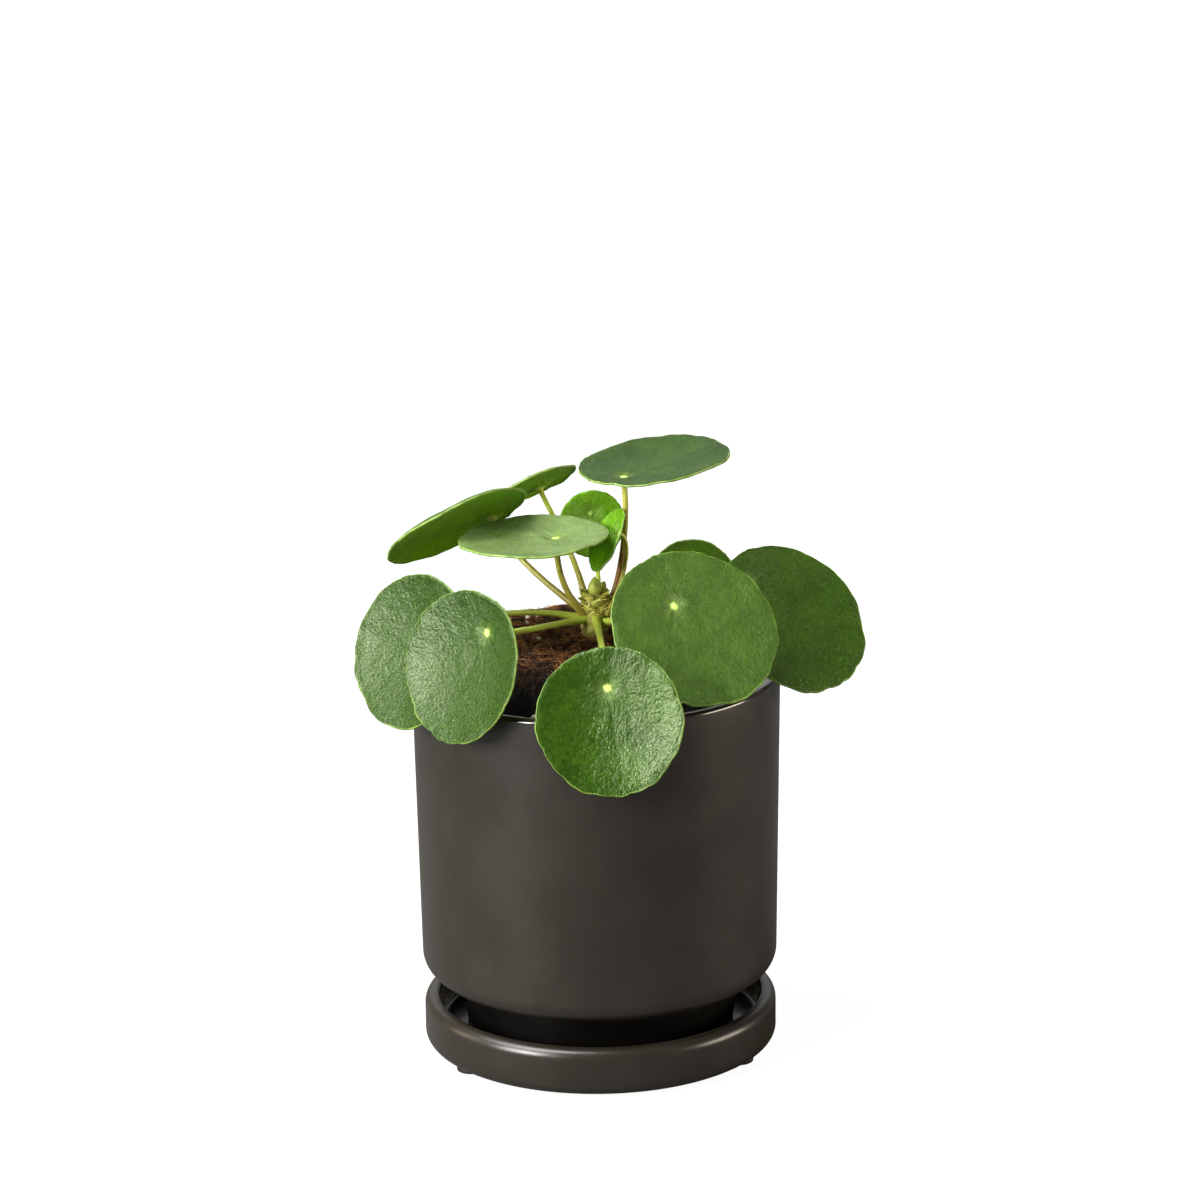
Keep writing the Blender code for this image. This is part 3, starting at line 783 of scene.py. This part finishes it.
class MONEYPLANT_OT_soil(bpy.types.Operator):
    """Mound the coir root ball, with its loose fibres and white grit"""

    bl_idname = "money_plant.soil"
    bl_label = "Root ball"

    def execute(self, context):
        tints = colours()
        s = sizes()
        ground = Ground()
        deselect()
        bpy.ops.mesh.primitive_circle_add(vertices=SOIL_STEPS, radius=ground.reach, location=AXIS)
        obj = bpy.context.object
        bpy.ops.object.transform_apply(location=True, rotation=True, scale=True)
        edit_all()
        for ring in range(1, SOIL_RINGS + 1):
            ratio = (SOIL_RINGS - ring + 0.12) / (SOIL_RINGS - ring + 1.12)
            bpy.ops.mesh.extrude_region_move(TRANSFORM_OT_translate={"value": (0, 0, 0)})
            bpy.ops.transform.resize(value=(ratio, ratio, 1), center_override=AXIS)
        bpy.ops.mesh.merge(type="CENTER")
        leave_edit()
        for vertex in obj.data.vertices:
            vertex.co.z = ground.height(vertex.co.x, vertex.co.y)
            vertex.select = (vertex.co.xy - AXIS.xy).length > ground.reach - 0.05 * MM
        bottom = SOIL_LOW.z
        bpy.ops.object.mode_set(mode="EDIT")
        bpy.ops.mesh.select_mode(type="VERT")
        bpy.ops.mesh.extrude_region_move(TRANSFORM_OT_translate={"value": (0, 0, -10 * MM)})
        bpy.ops.transform.resize(value=(0.985, 0.985, 1), center_override=AXIS)
        bpy.ops.mesh.extrude_region_move(TRANSFORM_OT_translate={"value": (0, 0, -60 * MM)})
        bpy.ops.transform.resize(value=(0.93, 0.93, 1), center_override=AXIS)
        bpy.ops.transform.resize(value=(1, 1, 0), center_override=(AXIS.x, AXIS.y, bottom + 0.05))
        bpy.ops.mesh.edge_face_add()
        merge_and_face_out(obj)
        smooth(obj, 60)
        earth = coir_finish("root ball", tints.soil_dark, tints.soil_light, 220, 0.9, 0.9 * MM, 0.15)
        finish_piece(obj, "root_ball", ["soil"], [earth])
        self.fibres(ground, s.fibres)
        self.grit(ground, s.grit)
        return {"FINISHED"}

    def fibres(self, ground, count):
        """Loose coir: curled strands that lie on the root ball, the longest near the front rim."""
        draw = random.Random(7)
        curve = strand_curve(0)
        for index in range(count):
            long = index % LONG_EVERY == 0
            length = draw.uniform(16, 34) * MM if long else draw.uniform(4, 12) * MM
            thick = draw.uniform(0.07, 0.13) * MM if long else draw.uniform(0.08, 0.19) * MM
            out = ground.reach * math.sqrt(draw.random()) * 0.98
            turn = draw.uniform(0, math.tau)
            place = AXIS + toward(turn) * out
            heading = draw.uniform(0, math.tau)
            bend = draw.uniform(-2.6, 2.6) * (0.5 if long else 1.0)
            lift = draw.uniform(0.1, 1.3) * MM if long else draw.uniform(0.0, 2.4) * MM
            if place.y > AXIS.y + CREST:
                lift *= 0.3
            steps = 7 if long else 5
            points = []
            for step in range(steps):
                share = step / (steps - 1)
                offset = place - AXIS
                if offset.length > ground.reach - 0.6 * MM:
                    place = AXIS + offset.normalized() * (ground.reach - 0.6 * MM)
                rise = lift * math.sin(math.pi * share) + 0.05 * MM
                points.append(Vector((place.x, place.y, ground.height(place.x, place.y) + rise)))
                heading += bend / steps
                place = place + toward(heading) * length / (steps - 1)
            if min((p.xy - STEM_AXIS.xy).length for p in points) < STEM_RADIUS * 0.9:
                continue
            toward_top = ease(SOIL_HIGH.z - 19 * MM, SOIL_HIGH.z - 5 * MM, points[0].z)
            if not long and draw.random() > 0.25 + 0.75 * toward_top:
                continue
            girths = [thick * (1.0 - 0.6 * abs(2 * step / (steps - 1) - 1)) for step in range(steps)]
            add_strand(curve, "POLY", points, girths)
        bpy.ops.object.convert(target="MESH")
        obj = bpy.context.object
        merge_and_face_out(obj, 0.001 * MM)
        smooth(obj, 70)
        coir = coir_finish("coir", paint(44, 22, 12), paint(206, 142, 84), 320, 0.6, 0.05 * MM, 0.3)
        finish_piece(obj, "coir_fibres", [], [coir])

    def grit(self, ground, count):
        """Chips of perlite, each its own broken lump."""
        draw = random.Random(21)
        pieces = []
        for index in range(count):
            out = ground.reach * math.sqrt(draw.random()) * 0.95
            turn = draw.uniform(0, math.tau)
            if index < len(CREST_CHIPS):
                turn, out = math.radians(CREST_CHIPS[index][0]), CREST_CHIPS[index][1] * MM
            x = AXIS.x + math.cos(turn) * out
            y = AXIS.y + math.sin(turn) * out
            deselect()
            bpy.ops.mesh.primitive_ico_sphere_add(subdivisions=2, radius=draw.uniform(0.7, 1.3) * MM)
            chip = bpy.context.object
            lean = Vector([draw.uniform(0.6, 1.2) for _ in range(3)])
            for vertex in chip.data.vertices:
                push = 1 + 0.3 * noise.noise(vertex.co * 1500 + UP * index)
                vertex.co = Vector([a * b for a, b in zip(vertex.co * push, lean)])
                vertex.co += Vector((x, y, ground.height(x, y) + 0.3 * MM))
            pieces.append(chip)
        obj = joined(pieces)
        smooth(obj, 30)
        white = two_tone("perlite", paint(214, 208, 192), paint(240, 236, 226), 900, 0.8, 0.2 * MM)
        finish_piece(obj, "perlite_grit", [], [white])


# ------------------------------------------------------------------ stem


STEM_RINGS = 26
SCALES = 40
# leaves and scales follow each other round the stem by this share of a turn
LEAF_TURN = 0.382
PAPER = 0.22 * MM


class MONEYPLANT_OT_stem(bpy.types.Operator):
    """Turn the short woody stem with its leaf scars, its papery scales and the bud"""

    bl_idname = "money_plant.stem"
    bl_label = "Stem and bud"

    def execute(self, context):
        draw = random.Random(3)
        height = STEM_HIGH.z - STEM_LOW.z
        profile = [(0.0, STEM_LOW.z - 2.5 * MM)]
        for ring in range(STEM_RINGS + 1):
            share = ring / STEM_RINGS
            swell = 1 + 0.07 * math.cos(share * math.tau * 4.5)
            taper = 1.16 - 0.28 * share if share < 0.8 else 0.936 - 1.9 * (share - 0.8)
            level = STEM_LOW.z - 2.4 * MM + (height + 3.0 * MM) * share
            profile.append((STEM_RADIUS * taper * swell, level))
        profile.append((0.0, STEM_HIGH.z + 0.9 * MM))
        obj = turned("woody_stem", profile, 64, STEM_AXIS)
        for vertex in obj.data.vertices:
            side = vertex.co - STEM_AXIS
            flat = Vector((side.x, side.y, 0))
            push = noise.noise(vertex.co * 260) * 0.6 + noise.noise(vertex.co * 900) * 0.25
            vertex.co += flat * push * 0.34
        smooth(obj, 60)
        bark = two_tone(
            "stem bark", paint(136, 110, 54), paint(206, 208, 98), 190, 0.62, 0.5 * MM, stretch=(1, 1, 0.45)
        )
        finish_piece(obj, "woody_stem", ["stem"], [bark])
        self.scales(draw)
        self.bud()
        return {"FINISHED"}

    def scales(self, draw):
        """Papery scales that wrap the stalks' feet: one cut and curled, then set round the crown."""
        parts = []
        for index in range(SCALES):
            turn = math.tau * index * LEAF_TURN + draw.uniform(-0.2, 0.2)
            length = draw.uniform(3.0, 5.8) * MM
            width = draw.uniform(3.4, 5.0) * MM
            lean = math.radians(draw.uniform(-4, 24))
            level = STEM_LOW.z + (STEM_HIGH.z - STEM_LOW.z) * draw.uniform(0.40, 0.92)
            deselect()
            bpy.ops.mesh.primitive_grid_add(x_subdivisions=6, y_subdivisions=10, size=1)
            obj = bpy.context.object
            outward = toward(turn)
            side = Vector((-math.sin(turn), math.cos(turn), 0))
            foot = STEM_AXIS + outward * STEM_RADIUS * 0.9 + UP * level
            for vertex in obj.data.vertices:
                across, along = vertex.co.x * 2, vertex.co.y + 0.5
                half = width / 2 * (math.sin(math.pi * min(1, 0.2 + along * 0.8)) ** 0.8 + 0.02)
                lift = lean + along * 0.45
                curl = (across * across) * 0.9 * MM * (1 - along * 0.4)
                crinkle = noise.noise(Vector((across * 2, along * 4, index))) * 0.5 * MM
                vertex.co = (
                    foot
                    + side * across * half
                    + outward * (math.sin(lift) * along * length - curl + crinkle)
                    + UP * math.cos(lift) * along * length
                )
            apply_modifier(obj, "SOLIDIFY", thickness=PAPER, offset=0)
            parts.append(obj)
        obj = joined(parts)
        smooth(obj, 60)
        paper = two_tone(
            "papery scale", paint(198, 184, 84), paint(228, 234, 126), 230, 0.5, 0.2 * MM, shift=0.5
        )
        finish_piece(obj, "papery_scales", [], [paper])

    def bud(self):
        """A pointed bud with folded sides."""
        height = BUD_HIGH.z - BUD_LOW.z
        radius = (BUD_HIGH.x - BUD_LOW.x) / 2
        centre = Vector(((BUD_LOW.x + BUD_HIGH.x) / 2, (BUD_LOW.y + BUD_HIGH.y) / 2, 0))
        profile = [(0.0, BUD_LOW.z - 0.8 * MM)]
        for ring in range(21):
            share = ring / 20
            girth = math.sin(math.pi * min(1.0, 0.22 + 0.78 * share)) ** 0.85
            level = BUD_LOW.z - 0.7 * MM + (height + 0.6 * MM) * share
            profile.append((radius * girth + 0.05 * MM, level))
        profile.append((0.0, BUD_HIGH.z))
        obj = turned("leaf_bud", profile, 40, centre)
        for vertex in obj.data.vertices:
            side = vertex.co - centre
            turn = math.atan2(side.y, side.x) + (vertex.co.z - BUD_LOW.z) * 260
            flat = Vector((side.x, side.y, 0))
            vertex.co += flat * 0.13 * (abs(math.sin(turn * 1.5)) - 0.6)
        smooth(obj, 50)
        green = two_tone("bud skin", paint(150, 170, 56), paint(206, 220, 104), 300, 0.5, 0.15 * MM)
        finish_piece(obj, "leaf_bud", ["bud"], [green])


# ------------------------------------------------------------------ leaves and stalks


class Blade:
    """Where a CAD blade lies: its stalk's point, its axes, its outline and its fitted height."""

    def __init__(self, name):
        points = unique_points("leaf_" + name)
        stalk = unique_points("stalk_" + name)
        under, over = sorted(
            busiest_points("leaf_" + name, 2), key=lambda p: min((p - q).length for q in stalk)
        )
        self.up = (over - under).normalized()
        self.foot = (over + under) / 2
        offsets = [p - self.foot for p in points]
        mean = sum(offsets, Vector()) / len(offsets)
        self.ahead = (mean - self.up * mean.dot(self.up)).normalized()
        self.side = self.up.cross(self.ahead)
        local = np.array([(o.dot(self.ahead), o.dot(self.side), o.dot(self.up)) for o in offsets])
        self.radius = (local[:, 0].max() - local[:, 0].min()) / 2
        self.offset = (local[:, 0].max() + local[:, 0].min()) / 2
        outer = local[np.hypot(local[:, 0], local[:, 1]) > 0.3 * self.radius]
        x, y, z = outer.T
        terms = np.stack([np.ones_like(x), x, y, x * x, x * y, y * y], 1)
        self.fit = np.linalg.lstsq(terms, z, rcond=None)[0]

    def edge(self, turn):
        """How far the outline is from the stalk's point at a heading."""
        across = self.offset * math.sin(turn)
        return self.offset * math.cos(turn) + math.sqrt(max(0.0, self.radius**2 - across * across))

    def height(self, x, y):
        a, b, c, d, e, f = self.fit
        return a + b * x + c * y + d * x * x + e * x * y + f * y * y

    def point(self, x, y, z):
        return self.foot + self.ahead * x + self.side * y + self.up * z


def blade_shares():
    """The rings of a blade, from the margin in to the stalk's point."""
    return [1.0, 0.992, 0.978, 0.955, 0.925] + [0.9 - 0.0294 * i for i in range(30)] + [0.014]


def blade_blank():
    """A flat round blank of rings, the start of every leaf."""
    deselect()
    bpy.ops.mesh.primitive_circle_add(vertices=BLADE_STEPS, radius=1.0)
    obj = bpy.context.object
    edit_all()
    shares = blade_shares()
    for wide, narrow in zip(shares, shares[1:]):
        ratio = narrow / wide
        bpy.ops.mesh.extrude_region_move(TRANSFORM_OT_translate={"value": (0, 0, 0)})
        bpy.ops.transform.resize(value=(ratio, ratio, 1), center_override=(0, 0, 0))
    bpy.ops.mesh.extrude_region_move(TRANSFORM_OT_translate={"value": (0, 0, 0)})
    bpy.ops.mesh.merge(type="CENTER")
    bpy.ops.mesh.select_all(action="SELECT")
    bpy.ops.mesh.normals_make_consistent(inside=False)
    leave_edit()
    if obj.data.polygons[0].normal.z < 0:
        bpy.ops.object.mode_set(mode="EDIT")
        bpy.ops.mesh.flip_normals()
        leave_edit()
    return obj


def wave_set(draw, lobes):
    """Waves round a leaf: (lobes, size, start) each."""
    return [(count, size * draw.uniform(0.6, 1.4), draw.uniform(0, math.tau)) for count, size in lobes]


def wave(waves, turn):
    return sum(size * math.sin(count * turn + start) for count, size, start in waves)


# waves round a blade: how many, and how deep as a share of its reach or in millimetres
OUTLINE_WAVES = [(2, 0.006), (3, 0.009), (5, 0.008), (9, 0.006), (17, 0.005)]
NOTCH_WAVES = [(2, 0.5), (5, 0.5)]
RIPPLE_WAVES = [(3, 0.12), (5, 0.12), (8, 0.09), (13, 0.06)]
NOTCHES, NOTCH_DEPTH = 18.5, 0.015
MARGIN_TURN = 0.35 * MM
# blisters of the skin: how close together and how high
BLISTERS = ((130, 0.22 * MM), (300, 0.15 * MM))
WAVINESS = (42, 0.7 * MM)
VEIN_HEADINGS = (0, 36, -36, 76, -76, 122, -122, 168)
VEIN_WIDTH = 0.75 * MM
VEIN_REACH = 1.2


def shape_blade(obj, blade, seed, cup):
    """Lays a copy of the blank on a CAD blade, with its wavy margin, dimple, veins and blisters."""
    draw = random.Random(seed)
    outline = wave_set(draw, OUTLINE_WAVES)
    notches = wave_set(draw, NOTCH_WAVES)
    ripple = wave_set(draw, RIPPLE_WAVES)
    vein_turns = [math.radians(v + draw.uniform(-7, 7)) for v in VEIN_HEADINGS]
    depth = sizes().vein_depth
    mesh = obj.data
    margin = mesh.attributes.new("margin", "FLOAT", "POINT")
    flat = []
    for vertex in mesh.vertices:
        share = min(1.0, vertex.co.xy.length)
        turn = math.atan2(vertex.co.y, vertex.co.x)
        notch = abs(math.sin(turn * NOTCHES + seed)) ** 0.7
        notch *= NOTCH_DEPTH * (0.6 + 0.5 * wave(notches, turn))
        reach = share * blade.edge(turn) * (1 + (wave(outline, turn) + notch - 0.008) * share * share)
        x, y = reach * math.cos(turn), reach * math.sin(turn)
        z = blade.height(x, y)
        out_x = (x - blade.offset) / blade.radius
        out_y = y / blade.radius
        z += cup * blade.radius * (out_x * out_x + out_y * out_y - (blade.offset / blade.radius) ** 2)
        z -= DIMPLE_DEPTH * max(0.0, 1 - (reach / DIMPLE_RADIUS) ** 2) ** 2
        z += wave(ripple, turn) * MM * share**3
        z -= MARGIN_TURN * ease(0.93, 1.0, share)
        spot = Vector((x, y, seed * 0.37))
        z += noise.noise(spot * WAVINESS[0]) * WAVINESS[1] * ease(0.1, 0.6, share)
        z += sum(noise.noise(spot * close) * high for close, high in BLISTERS)
        for vein in vein_turns:
            gap = abs((turn - vein + math.pi) % math.tau - math.pi)
            if gap < VEIN_REACH:
                away = reach * math.sin(gap) / VEIN_WIDTH
                z -= depth * math.exp(-away * away) * (1 - share) ** 0.4 * ease(0.03, 0.14, share)
        margin.data[vertex.index].value = share
        flat.append((0.5 + x / BLADE_SPAN, 0.5 + y / BLADE_SPAN))
        vertex.co = blade.point(x, y, z + sizes().blade / 2)
    while mesh.uv_layers:
        mesh.uv_layers.remove(mesh.uv_layers[0])
    layer = mesh.uv_layers.new(name="leaf")
    for loop in mesh.loops:
        layer.data[loop.index].uv = flat[loop.vertex_index]


# the veins' strength and the pale dot's radius in millimetres, on the face and on the back
FACE_VEINS, BACK_VEINS = 0.07, 0.16
FACE_DOT, YOUNG_DOT, BACK_DOT = 1.35, 0.8, 1.7
BACK_ROUGHNESS = 0.56
YOUNG_THICKNESS = 0.75


class MONEYPLANT_OT_leaves(bpy.types.Operator):
    """Shape the round leaves, each on its own blade, from one blank"""

    bl_idname = "money_plant.leaves"
    bl_label = "Leaves"

    def execute(self, context):
        if not LEAVES:
            raise RuntimeError("The model has no leaves")
        blank = blade_blank()
        tints = colours()
        # the cut edge of the blade is pale: partly the leaf's pale margin, partly painted highlight
        rim = two_tone("leaf rim", tints.leaf_edge, tints.leaf_fresh, 300, 0.5, 0.05 * MM, shift=0.56)
        for index, name in enumerate(LEAVES):
            look = LEAF_LOOKS[name]
            young = look.fresh > 0.8
            obj = bpy.data.objects.new(name, blank.data.copy())
            bpy.context.collection.objects.link(obj)
            shape_blade(obj, Blade(name), index + 1, look.cup)
            seed = index * 3.7
            dot = YOUNG_DOT if young else FACE_DOT
            skin = {"young": young, "bloom": look.bloom}
            upper = leaf_material(f"leaf face {name}", look.fresh, look.rough, seed, FACE_VEINS, dot, **skin)
            under = leaf_material(
                f"leaf back {name}", look.under, BACK_ROUGHNESS, seed + 1.9, BACK_VEINS, BACK_DOT,
                under=True, young=young, bloom=look.bloom * 0.6,
            )
            obj.data.materials.append(upper)
            obj.data.materials.append(under)
            obj.data.materials.append(rim)
            thickness = sizes().blade * (YOUNG_THICKNESS if young else 1.0)
            apply_modifier(
                obj, "SOLIDIFY", thickness=thickness, offset=-1, material_offset=1, material_offset_rim=2
            )
            only(obj)
            bpy.ops.object.shade_smooth()
            marks = [face.material_index for face in obj.data.polygons]
            finish_piece(
                obj, f"round_leaf_{name}", ["leaf_" + name],
                [upper, under, rim],
            )
            for face, mark in zip(obj.data.polygons, marks):
                face.material_index = mark
        bpy.data.objects.remove(blank)
        return {"FINISHED"}


def stalk_line(name):
    """The middle of a CAD stalk, from its blade down to the stem, and its radius there."""
    blade = Blade(name)
    left = unique_points("stalk_" + name)
    here = blade.foot
    centres, radii = [], []
    while len(left) >= STALK_RING:
        left.sort(key=lambda p: (p - here).length)
        ring = left[:STALK_RING]
        centre = sum(ring, Vector()) / STALK_RING
        centres.append(centre)
        radii.append(STALK_SLIM * sum((p - centre).length for p in ring) / STALK_RING)
        left = left[STALK_RING:]
        here = centre
    return blade, centres, radii


class MONEYPLANT_OT_stalks(bpy.types.Operator):
    """Draw the stalks, swollen where they leave the stem and flared under the blades"""

    bl_idname = "money_plant.stalks"
    bl_label = "Stalks"

    def execute(self, context):
        for name in LEAVES:
            blade, centres, radii = stalk_line(name)
            inner = centres[-1] + (centres[-1] - centres[-2]).normalized() * 1.6 * MM
            flare = [blade.foot - blade.up * drop for drop in (0.2 * MM, 1.2 * MM)]
            points = flare + centres[1:] + [inner]
            girths = [radii[0] * 1.35, radii[0] * 1.08] + radii[1:] + [radii[-1]]
            last = len(points) - 1
            girths = [girth * (1 + 0.5 * ease(last - 3.2, last, step)) for step, girth in enumerate(girths)]
            line = add_strand(strand_curve(4), "NURBS", points, girths)
            line.use_endpoint_u = True
            line.order_u = 4
            line.resolution_u = 7
            bpy.ops.object.convert(target="MESH")
            obj = bpy.context.object
            for vertex in obj.data.vertices:
                vertex.co += Vector((
                    noise.noise(vertex.co * 300),
                    noise.noise(vertex.co * 300 + UP * 4),
                    noise.noise(vertex.co * 300 + UP * 8),
                )) * 0.08 * MM
            merge_and_face_out(obj)
            smooth(obj, 60)
            skin = self.skin(f"stalk skin {name}", name)
            finish_piece(obj, f"leaf_stalk_{name}", ["stalk_" + name], [skin])
        return {"FINISHED"}

    def skin(self, name, leaf):
        """Light green, browner towards the crown on the upright stalks."""
        tints = colours()
        made, tree = new_material(name, specular=0.5, coat=0.15, coat_roughness=0.3)
        place = node(tree, "ShaderNodeTexCoord").outputs["Object"]
        away = vectors(tree, "DISTANCE", place, CROWN)["Value"]
        share = LEAF_LOOKS[leaf].brown
        tint = between(tree, away, 6 * MM, 48 * MM, share, share * 0.45)
        wander = cloud(tree, place, 120.0, 3.0)
        tint = sums(tree, "ADD", tint, swing(tree, wander, 0.5), clamp=True)
        colour = blend(tree, tint, rgba(tints.stalk_light), rgba(tints.stalk_dark))
        specks = between(tree, cloud(tree, place, 900.0, 2.0), 0.6, 0.72, 0.0, 0.35)
        colour = blend(tree, specks, colour, rgba(tints.leaf_deep))
        grain = cloud(tree, place, 700.0, 2.0)
        rough = sums(tree, "MULTIPLY_ADD", grain, 0.16, 0.34)
        return wired(made, colour, rough, grain, 0.5, 0.12 * MM)


# ------------------------------------------------------------------ stage

CAMERA_DISTANCE = 1.9
CAMERA_RISE = math.radians(16.6)
CAMERA_ROLL = math.radians(0.8)
CAMERA_TARGET = AXIS + Vector((1.9 * MM, 0, 172.1 * MM))
LENS = 154.755
FLOOR_RADIUS = 9.0
FLOOR_GLOW = 0.95
SKY_GLOW = 0.14
LIGHT_AIM = 0.12


# name, bearing and rise in degrees, distance, width, height, power, colour
LIGHTS = (
    ("key softbox", -52, 19, 1.7, 0.7, 0.8, 54, (1.0, 0.98, 0.95)),
    ("side softbox", -98, 14, 1.7, 0.5, 0.8, 5, (1.0, 0.84, 0.6)),
    ("top softbox", -72, 62, 2.2, 1.4, 1.4, 84, (1.0, 1.0, 1.0)),
    ("back wall", 180, 24, 2.6, 3.0, 1.8, 9, (1.0, 1.0, 1.0)),
    ("right fill", 84, 8, 1.8, 1.0, 0.6, 22, (1.0, 0.88, 0.7)),
)


def soft_light(name, bearing, rise, distance, width, height, power, colour):
    """A softbox facing the plant. Bearing 0 is behind the camera and turns to the right."""
    turn, lift = math.radians(bearing), math.radians(rise)
    away = Vector((math.sin(turn) * math.cos(lift), -math.cos(turn) * math.cos(lift), math.sin(lift)))
    aim = AXIS + UP * LIGHT_AIM
    bpy.ops.object.light_add(type="AREA", location=aim + away * distance)
    light = bpy.context.object
    light.name = name
    light.rotation_euler = away.to_track_quat("Z", "Y").to_euler()
    light.data.shape = "RECTANGLE"
    light.data.size = width
    light.data.size_y = height
    light.data.energy = power
    light.data.color = colour


class MONEYPLANT_OT_stage(bpy.types.Operator):
    """Lay the pale floor, hang the soft lights and set the camera"""

    bl_idname = "money_plant.stage"
    bl_label = "Stage"

    def execute(self, context):
        deselect()
        bpy.ops.mesh.primitive_circle_add(
            vertices=96, radius=FLOOR_RADIUS, fill_type="NGON", location=(0, 0, 0)
        )
        floor = bpy.context.object
        floor.name = "pale_floor"
        made, tree = new_material("pale floor", specular=0.1)
        shader = tree.nodes["Principled BSDF"]
        place = node(tree, "ShaderNodeTexCoord").outputs["Object"]
        tone = between(tree, cloud(tree, place, 3.0, 2.0), 0.3, 0.7)
        colour = blend(tree, tone, (0.12, 0.12, 0.12, 1), (0.14, 0.14, 0.14, 1))
        tree.links.new(colour, shader.inputs["Base Color"])
        shader.inputs["Roughness"].default_value = 0.8
        seen = node(tree, "ShaderNodeLightPath").outputs["Is Camera Ray"]
        tree.links.new(blend(tree, seen, (0, 0, 0, 1), (1, 1, 1, 1)), shader.inputs["Emission Color"])
        shader.inputs["Emission Strength"].default_value = FLOOR_GLOW
        floor.data.materials.append(made)
        world = bpy.data.worlds.new("studio")
        context.scene.world = world
        world.use_nodes = True
        sky = world.node_tree.nodes["Background"]
        sky.inputs["Color"].default_value = (1.0, 0.99, 0.97, 1)
        seen = node(world.node_tree, "ShaderNodeLightPath").outputs["Is Camera Ray"]
        strength = between(world.node_tree, seen, 0.0, 1.0, SKY_GLOW, 1.0)
        world.node_tree.links.new(strength, sky.inputs["Strength"])
        for light in LIGHTS:
            soft_light(*light)
        self.camera(context)
        context.scene.view_settings.view_transform = "Standard"
        return {"FINISHED"}

    def camera(self, context):
        back = Vector((0, -math.cos(CAMERA_RISE), math.sin(CAMERA_RISE)))
        right = UP.cross(back).normalized()
        up = back.cross(right)
        rolled_right = right * math.cos(CAMERA_ROLL) - up * math.sin(CAMERA_ROLL)
        rolled_up = up * math.cos(CAMERA_ROLL) + right * math.sin(CAMERA_ROLL)
        bpy.ops.object.camera_add()
        camera = bpy.context.object
        turn = Matrix((rolled_right, rolled_up, back)).transposed().to_4x4()
        camera.matrix_world = Matrix.Translation(CAMERA_TARGET + back * CAMERA_DISTANCE) @ turn
        camera.data.lens = LENS
        camera.data.sensor_width = 36
        camera.data.clip_end = 40
        context.scene.camera = camera


# ------------------------------------------------------------------ add-on

PIECES = (
    MONEYPLANT_OT_pot,
    MONEYPLANT_OT_saucer,
    MONEYPLANT_OT_soil,
    MONEYPLANT_OT_stem,
    MONEYPLANT_OT_leaves,
    MONEYPLANT_OT_stalks,
    MONEYPLANT_OT_stage,
)


class MONEYPLANT_PT_panel(bpy.types.Panel):
    """The pieces of the potted money plant"""

    bl_idname = "MONEYPLANT_PT_panel"
    bl_label = "Money Plant"
    bl_space_type = "VIEW_3D"
    bl_region_type = "UI"
    bl_category = "Money Plant"

    def draw(self, context):
        for piece in PIECES:
            self.layout.operator(piece.bl_idname)
        for group in (context.scene.money_plant_sizes, context.scene.money_plant_colours):
            for key in group.bl_rna.properties.keys():
                if key not in ("name", "rna_type"):
                    self.layout.prop(group, key)


CLASSES = (MoneyPlantSizes, MoneyPlantColours, *PIECES, MONEYPLANT_PT_panel)


def register():
    for made in CLASSES:
        bpy.utils.register_class(made)
    bpy.types.Scene.money_plant_sizes = PointerProperty(type=MoneyPlantSizes)
    bpy.types.Scene.money_plant_colours = PointerProperty(type=MoneyPlantColours)


def unregister():
    del bpy.types.Scene.money_plant_colours
    del bpy.types.Scene.money_plant_sizes
    for made in reversed(CLASSES):
        bpy.utils.unregister_class(made)


def main():
    register()
    for piece in PIECES:
        group, name = piece.bl_idname.split(".")
        getattr(getattr(bpy.ops, group), name)()


if __name__ == "__main__":
    main()
